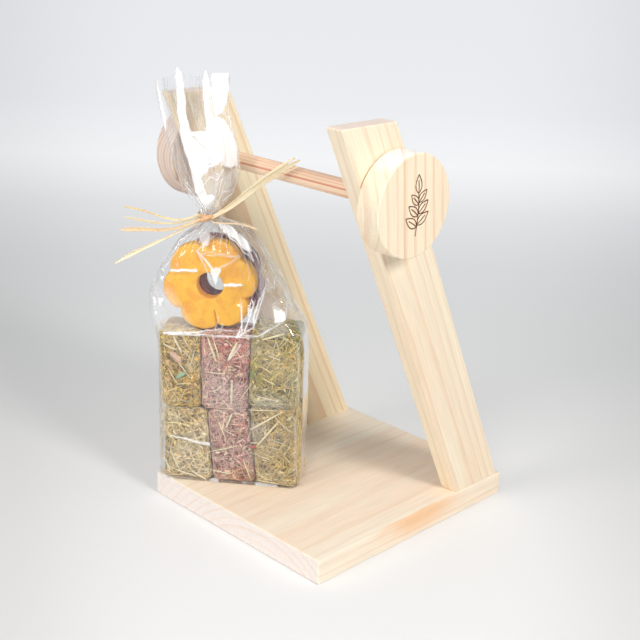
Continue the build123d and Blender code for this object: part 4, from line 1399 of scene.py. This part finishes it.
# White facets in front, painted highlight and a pale painted haze of reflected light over the
# bricks: how white, then the (s, h) of the corners.
front_reflection_facets = [
    (1.0, (36.9, 197.0), (45.0, 195.8), (53.5, 190.7), (50.9, 184.2), (42.6, 189.1)),
    (1.0, (52.7, 191.3), (59.1, 185.0), (63.9, 176.5), (58.3, 177.9), (50.1, 185.0)),
    (0.55, (57.1, 127.1), (65.5, 131.3), (65.7, 124.5), (60.0, 123.7), (55.5, 122.1)),
    (0.75, (60.2, 124.1), (55.4, 122.3), (52.9, 116.2)),
    (0.80, (33.0, 163.3), (36.6, 165.4), (41.3, 164.5), (36.6, 150.3)),
    (0.95, (78.0, 139.7), (85.9, 137.0), (88.1, 131.3), (86.0, 129.8), (80.2, 129.9)),
    (0.40, (77.5, 140.8), (85.9, 146.9), (86.5, 138.0)),
    (0.72, (24.6, 185.0), (29.2, 193.0), (32.8, 187.6), (31.9, 179.7), (27.0, 178.6)),
    (0.24, (-12.4, 150.0), (6.0, 150.0), (28.2, 117.9), (16.0, 114.0), (-9.3, 114.0)),
    (0.50, (60.0, 181.0), (65.3, 175.3), (70.6, 173.5), (72.4, 164.4), (71.6, 156.0),
     (66.6, 158.4)),
    (0.45, (66.9, 160.0), (71.8, 158.0), (73.4, 149.0), (69.6, 140.0), (66.0, 146.0)),
    (0.26, (64.0, 179.0), (76.0, 165.0), (84.0, 150.0), (70.0, 146.0), (66.0, 160.0)),
    (0.20, (66.0, 149.0), (84.0, 150.0), (94.0, 126.0), (88.0, 118.0), (67.0, 118.0)),
    (0.16, (43.0, 90.5), (48.6, 90.0), (47.6, 79.0), (42.0, 82.0)),
    (0.14, (62.0, 77.0), (88.0, 75.0), (92.0, 62.0), (64.0, 62.0)),
    (0.14, (61.0, 56.0), (80.0, 52.0), (74.0, 34.0), (61.0, 36.0)),
    (0.10, (31.0, 90.0), (60.0, 84.0), (58.0, 60.0), (31.0, 62.0)),
    (0.85, (-1.0, 162.4), (1.4, 160.2), (-2.0, 159.4)),
    (0.85, (-8.8, 153.2), (-6.2, 151.6), (-8.8, 150.6)),
]
pleat_count = 26
pleat_places = np.sort((np.arange(pleat_count) + film_random.uniform(-0.34, 0.34, pleat_count))
                       / pleat_count)
pleat_starts = film_random.uniform(128, 176, pleat_count)


def eased(share):
    """A share from 0 to 1 that starts and ends gently."""
    share = np.clip(share, 0, 1)
    return share ** 2 * (3 - 2 * share)


def pleat_depth(around, height):
    """How far the pleats draw the film in, from 0 to 1, at each share of the way around."""
    edges = np.concatenate([pleat_places, [pleat_places[0] + 1]])
    total = np.zeros(np.broadcast(around, height).shape)
    for place, after, start in zip(edges[:-1], edges[1:], pleat_starts):
        valley, half = (place + after) / 2, (after - place) / 2
        away = np.abs((around - valley + 0.5) % 1.0 - 0.5)
        total += eased((height - start) / 22) * np.clip(1 - away / half, 0, 1)
    return total


# %% [markdown]
# ## Clear film: the finish
#
# Film is nearly nothing: light goes straight through, and only a few percent is thrown back, more
# at a glancing angle. A transparent shader is mixed with a mirror by that amount, doubled for its
# two faces. It is worked out from Facing, because the Fresnel node takes the inside of a thin sheet
# for the inside of a solid. Where the film is creased or throws back a lamp it looks white, so the
# whiteness painted on the points mixes in a pale, dull coat there: partly the creases' own
# whitening, partly painted highlight and painted reflection. A trace of it everywhere is a painted
# haze of reflected light. White film also lets light through from behind, which a weak painted
# glow on the whitest parts stands for.

# %% Film material
def film_material():
    material, tree, output, _ = new_material("clear film")
    white = add(tree, "Attribute", attribute_name="Whiteness").outputs["Fac"]
    clear = add(tree, "BsdfTransparent", {"Color": (0.985, 0.986, 0.986, 1.0)})
    mirror = add(tree, "BsdfPrincipled", {"Base Color": (1.0, 1.0, 1.0, 1.0), "Metallic": 1.0,
                                          "Roughness": 0.05})
    path = add(tree, "LightPath").outputs
    lighting = maths(tree, "MAXIMUM", path["Is Shadow Ray"], path["Is Diffuse Ray"])
    strength = ramp(tree, lighting, 0.0, 1.0, 1.9, 0.4, smooth=False)
    glance = maths(tree, "POWER", add(tree, "LayerWeight", {"Blend": 0.5}).outputs["Facing"], 5.0)
    bounce = maths(tree, "MULTIPLY", maths(tree, "MULTIPLY_ADD", glance, 0.96, 0.04), strength)
    glossy = add(tree, "MixShader", {0: maths(tree, "MINIMUM", bounce, 0.9), 1: clear.outputs[0],
                                     2: mirror.outputs[0]})
    # painted glow: the whitest parts give a weak light of their own
    glow_colour = mixed(tree, ramp(tree, white, 0.6, 1.0), srgb(0, 0, 0), srgb(255, 255, 253))
    crease_and_glint_coat = add(tree, "BsdfPrincipled", {"Base Color": (0.96, 0.96, 0.96, 1.0), "Roughness": 0.35,
                                        "Emission Color": glow_colour, "Emission Strength": 0.14})
    # the trace of 0.016 everywhere is a painted haze of reflected light
    share = maths(tree, "ADD", maths(tree, "MULTIPLY", white, 0.92), 0.016)
    mix = add(tree, "MixShader", {0: share, 1: glossy.outputs[0], 2: crease_and_glint_coat.outputs[0]})
    tree.links.new(mix.outputs[0], output)
    return material


def make_sheet(name, places, whiteness, closed_bottom=False):
    """A piece of film from a grid of places (rows, columns, s-d-h), closed all the way round."""
    faces = tube_faces(*places.shape[:2])[:-1 if closed_bottom else -2]
    sheet = make_piece(name, in_pack(places.reshape(-1, 3)), faces, "snack_pack",
                       [clear_film], ("bag_film",))
    layer = sheet.data.attributes.new("Whiteness", "FLOAT", "POINT")
    layer.data.foreach_set("value", np.clip(whiteness, 0, 1).astype(np.float32).ravel())
    return sheet


def kinks(heights, limit):
    """How sharply a sheet is bent from column to column, from 0 to 1."""
    bend = np.abs(np.roll(heights, 1, axis=1) + np.roll(heights, -1, axis=1) - 2 * heights)
    return np.clip(bend / limit, 0, 1)


clear_film = film_material()
scene.cycles.transparent_max_bounces = 32

# %% Build the bag
film_join = 199.6  # the height at which the bag ends and the fan begins


def build_bag(rows=250, columns=380):
    heights = np.linspace(0.4, film_join, rows)
    loops = [rounded_loop(*level, columns) for level in level_at(heights, bag_levels, 2.5)]
    s, d, out_s, out_d = np.moveaxis(np.array(loops), 2, 0)
    around = np.arange(columns) / columns
    across, upward = np.meshgrid(around * film_around, heights)
    heights = heights[:, None]

    # Random folds all round, nearly none in front of the biscuits, and the placed ones in front.
    folded, white = lay_folds(across, upward, bag_folds)
    placed, placed_white = lay_folds(s, upward, front_folds)
    facing_limit = np.interp(heights, [112, 124], [-0.6, -0.05])
    in_front = np.clip((facing_limit - out_d) / 0.3, 0, 1)
    face = np.clip((0.14 - np.abs(around - 0.47)) / 0.05, 0, 1)
    face = face * np.interp(heights, [112, 124, 172, 184], [0, 1, 1, 0])
    folded *= 1 - 0.88 * face
    white *= 1 - 0.85 * face
    calm = np.interp(heights, [0, 4, 110, 122, 176, 186, 194], [0.1, 0.8, 0.8, 1, 1, 0.5, 0.1])
    inward = np.interp(heights, [0, 112, 124, 180, 188, 194], [-0.5, -0.5, -1.6, -1.6, -1.0, -0.2])
    step = np.clip(folded * calm + placed * in_front, inward, 1.9)

    # The pleats draw the film in towards the neck, and the bottom edge turns under.
    depth = np.interp(heights, [118, 140, 163, 183, 190, 195], [0, 0.7, 1.5, 2.6, 4.0, 4.9])
    pleats = pleat_depth(around[None, :], upward) * depth * (1 - 0.85 * face)
    bottom = 2.5 * (1 - np.clip(heights / 3.0, 0, 1)) ** 2
    out = step - pleats - bottom
    places = np.stack([s + out_s * out, d + out_d * out, upward], axis=2)

    # White lies on ridges, kinks, bands and facets, with a faint haze over the bricks: partly the
    # creases' own whitening, and painted highlight and painted reflection.
    painted_marks = np.maximum(lay_white_bands(s, upward, front_glint_bands), lay_facets(s, upward, front_reflection_facets))
    reflected_haze = 0.015 + 0.05 * np.sin(0.11 * across + 2.0 * np.sin(0.07 * upward))
    reflected_haze = reflected_haze * np.interp(heights, [2, 8, 112, 118], [0, 1, 1, 0])
    whiteness = np.max([0.35 * white * calm, placed_white * in_front, 0.45 * kinks(pleats, 0.6),
                        painted_marks * in_front, reflected_haze * in_front], axis=0)
    whiteness = whiteness * np.clip(heights / 3 - 1, 0, 1)
    return make_sheet("clear_film_bag", places, whiteness, closed_bottom=True)


bag = build_bag()
print("bag:", len(bag.data.polygons), "faces")

# %% [markdown]
# ## Clear film: the fanned top
#
# Above the tie the rest of the bag spreads into a fan: the same tube of film, pressed flat and
# folded into pleats of uneven width, some of them folded right over so that three layers lie
# together. Those strips and the broad facets beside them carry the brightest lights in the whole
# picture, painted as highlight in the film's whiteness. The front and the back sheet each follow a
# list of folds: how far across, and how far forward.

# %% Build the fan
fan_levels = np.array([
    # height above the neck's start, left, right, middle depth, swing
    (4.5, -5.0, 5.0, 0.0, 0.6), (8.0, -5.8, 6.4, -0.2, 1.2), (14.0, -10.6, 12.4, -0.8, 2.2),
    (22.0, -17.0, 17.8, -1.9, 3.2), (36.0, -21.6, 22.8, -3.1, 3.9), (47.0, -25.4, 23.0, -4.0, 4.0),
    (63.0, -28.4, 20.0, -5.5, 4.2), (84.0, -33.0, 15.6, -7.4, 4.0), (105.0, -34.6, 16.4, -9.3, 3.8),
])
front_pleats = [(0.0, 0.0), (0.045, -0.9), (0.02, -0.3), (0.085, -0.7), (0.14, 0.3), (0.27, 0.5),
                (0.325, -1.0), (0.255, -0.7), (0.345, -0.2), (0.39, 0.5), (0.45, 0.35), (0.57, 0.6),
                (0.63, -0.6), (0.70, -1.0), (0.64, -0.7), (0.76, -0.3), (0.80, -0.8), (0.98, -0.5),
                (1.0, 0.0)]
back_pleats = [(0.0, 0.0), (0.03, 0.8), (0.16, 0.2), (0.10, 0.5), (0.24, 1.0), (0.36, 0.1),
               (0.31, 0.6), (0.52, 0.9), (0.60, 0.1), (0.55, 0.5), (0.74, 1.0), (0.88, 0.2),
               (0.84, 0.7), (0.97, 0.9), (1.0, 0.0)]
front_edge = [(0.0, 292.6), (0.05, 293.2), (0.28, 296.0), (0.32, 302.4), (0.36, 299.0),
              (0.46, 297.4), (0.66, 297.8), (0.69, 301.2), (0.73, 299.6), (1.0, 300.2)]
back_edge = [(0.0, 292.0), (0.3, 298.2), (0.6, 296.4), (1.0, 299.4)]
# Where layers lie together the fan is white, in bands: partly the layers' own whiteness, partly
# painted highlight.
fan_glint_bands = [
    (1.0, (12.0, 303.0, 2.6), (12.6, 296.0, 4.0), (13.3, 285.4, 4.4), (14.4, 267.2, 5.8),
     (15.4, 258.6, 8.0), (17.0, 248.6, 7.2), (20.0, 237.0, 6.6), (24.2, 220.4, 7.0)),
    (0.95, (24.2, 220.4, 7.0), (27.0, 214.0, 5.0)),
    (0.9, (-4.4, 292.0, 0.8), (-3.1, 282.5, 0.9), (-1.4, 272.7, 1.0)),
    (0.8, (-1.4, 272.7, 1.0), (0.2, 259.0, 0.8)),
    (1.0, (-2.0, 293.4, 1.4), (-1.0, 284.0, 2.0), (0.4, 275.0, 2.6), (1.4, 266.0, 3.6),
     (2.2, 258.6, 2.0)),
    (1.0, (30.7, 301.0, 0.8), (30.9, 294.5, 4.6), (31.2, 285.0, 5.2)),
    (0.97, (31.2, 285.0, 5.2), (32.6, 272.0, 5.6)), (1.0, (32.6, 272.0, 5.6), (34.0, 262.0, 7.0)),
    (0.9, (45.6, 272.0, 0.9), (49.6, 258.0, 0.8)), (0.9, (43.0, 274.0, 0.7), (46.4, 261.0, 0.7)),
    (0.5, (52.2, 250.0, 0.8), (52.4, 234.0, 0.9)),
    (0.9, (27.3, 221.7, 0.9), (31.0, 227.1, 0.8), (38.2, 227.1, 0.8)),
    (0.9, (38.2, 227.1, 0.9), (41.8, 234.3, 1.0)), (0.8, (36.0, 232.5, 0.7), (41.4, 229.6, 0.7)),
    (0.8, (37.5, 223.8, 0.8), (41.1, 227.7, 0.8)), (0.8, (41.1, 227.7, 1.0), (37.6, 215.0, 0.8)),
    (0.75, (41.9, 218.9, 0.8), (51.4, 220.2, 0.9)), (0.95, (51.6, 221.0, 1.3), (41.0, 211.8, 0.8)),
    (0.6, (47.0, 234.0, 0.7), (44.0, 222.0, 0.7)), (0.65, (43.0, 226.0, 0.8), (36.0, 206.0, 1.2)),
    (0.95, (17.0, 218.6, 1.0), (25.8, 206.4, 1.0)), (0.8, (16.0, 223.0, 0.8), (21.4, 215.2, 0.7)),
    (0.6, (14.4, 226.0, 0.7), (18.6, 213.0, 0.8)), (0.4, (5.4, 247.0, 0.7), (13.6, 219.0, 0.8)),
    (0.7, (33.0, 213.0, 1.4), (31.0, 203.0, 0.9)), (0.8, (26.0, 212.0, 1.4), (28.6, 203.0, 0.9)),
]
# Broad white facets of painted highlight: how white, then the (s, h) of the corners.
fan_reflection_facets = [
    (1.0, (34.4, 300.4), (46.3, 300.4), (46.0, 287.0), (44.4, 279.6), (41.6, 273.2), (37.0, 270.6),
     (34.8, 279.5), (33.6, 287.0)),
    (1.0, (17.4, 259.0), (30.6, 259.8), (33.4, 250.0), (31.0, 232.1), (25.0, 226.0), (19.0, 240.0)),
    (1.0, (29.0, 262.0), (36.8, 271.0), (42.2, 265.4), (41.8, 240.0), (36.0, 236.2), (29.6, 231.5),
     (27.0, 245.0)),
    (0.78, (36.6, 272.2), (43.4, 269.4), (49.4, 259.5), (51.9, 248.6), (51.6, 237.0), (46.2, 236.1),
     (40.0, 236.4)),
    (1.0, (22.3, 215.4), (36.7, 215.5), (32.4, 208.9), (28.0, 206.4), (25.4, 209.4)),
    (0.30, (14.0, 229.0), (30.0, 233.0), (52.0, 236.0), (51.0, 220.0), (40.0, 208.0),
     (22.0, 205.0)),
    (0.14, (2.0, 262.0), (12.0, 262.0), (17.0, 222.0), (9.0, 226.0)),
]
# Grey creases in the white parts of the fan.
fan_creases = [
    (0.45, (20.4, 255.4, 1.6), (28.8, 247.4, 0.9)), (0.35, (23.2, 250.8, 1.0), (32.0, 239.4, 0.8)),
    (0.4, (30.6, 291.0, 0.7), (34.8, 272.6, 1.3)), (0.4, (19.4, 231.0, 0.8), (22.4, 219.6, 0.6)),
    (0.25, (12.4, 299.0, 0.5), (14.4, 272.0, 0.6)), (0.2, (38.4, 256.0, 0.8), (40.6, 243.0, 1.4)),
    (0.3, (28.0, 236.0, 1.4), (36.0, 238.4, 0.8)), (0.3, (41.8, 262.0, 0.6), (44.0, 240.0, 0.8)),
]


fan_width, fan_swing, fan_around = 50.0, 4.2, 230.0


def spread_pleats(pleats, count):
    """Evenly spaced values (across, forward) along a list of pleats."""
    way = ways_along(np.array(pleats) * (fan_width, fan_swing))
    return read_off(np.linspace(0, way[-1], count), way, pleats)


def build_fan(rows=120, half=200):
    """Columns run along the front from left to right, then along the back to the left again."""
    front = spread_pleats(front_pleats, half + 1)[:-1]
    back = spread_pleats(back_pleats, half + 1)[:0:-1]
    sheet = np.concatenate([front, back])
    share_across, forward = sheet.T
    layer = np.repeat([-1.0, 1.0], half)
    layer *= np.clip(np.abs(np.sin(np.linspace(0, 2 * pi, 2 * half, endpoint=False))) * 6, 0, 1)
    edge = np.concatenate([np.interp(front[:, 0], *np.transpose(front_edge)),
                           np.interp(back[:, 0], *np.transpose(back_edge))])
    heights = film_join + np.linspace(0, 1, rows)[:, None] ** 0.9 * (edge - film_join)
    above = heights - neck_place[2]
    levels = read_off(above, fan_levels[:, 0], fan_levels[:, 1:])
    left, right, middle, swing = np.moveaxis(levels, -1, 0)
    spread_s = neck_place[0] + left + (right - left) * share_across
    spread_d = neck_place[1] + middle + swing * forward + 0.7 * layer

    # Low down the sheet is the same pleated ring that the bag ends in.
    around = (np.arange(2 * half) / (2 * half) + 0.25) % 1.0
    angle = pi / 2 + 2 * pi * around
    radius = 6.1 - 4.9 * pleat_depth(around[None, :], np.full_like(heights, 200.0))
    ring_s, ring_d = neck_place[0] + radius * np.cos(angle), neck_place[1] + radius * np.sin(angle)
    opened = eased((above - 5.0) / 8.0)
    rng = np.random.default_rng(23)
    folds = (random_folds(rng, 26, 0, fan_around, 205, 290, 24, 46, 1.0)
             + random_folds(rng, 22, 0, fan_around, 205, 240, 75, 18, 1.3))
    across = np.tile(np.linspace(0, fan_around, 2 * half), (rows, 1))
    folded, white = lay_folds(across, heights, folds)
    places = np.stack([ring_s * (1 - opened) + spread_s * opened,
                       ring_d * (1 - opened) + (spread_d + folded) * opened, heights], axis=2)

    # White lies on folds and bends, partly the creases' own whitening, and painted highlight lies on
    # the bands and facets of the front.
    bends = kinks((sheet @ (fan_width, fan_swing))[None, :], 0.35)
    patches = np.maximum(lay_white_bands(spread_s, heights, fan_glint_bands),
                         lay_facets(spread_s, heights, fan_reflection_facets))
    patches *= (layer < 0) * (1 - lay_white_bands(spread_s, heights, fan_creases))
    streaks = 0.97 + 0.03 * np.sin(share_across * 60 + 1.5 * np.sin(heights * 0.06))
    whiteness = np.maximum(0.5 * white, 0.35 * bends) + 0.25 * (1 - opened)
    return make_sheet("clear_film_fan", places, np.maximum(whiteness, patches * streaks))


fan = build_fan()
print("fan:", len(fan.data.polygons), "faces")
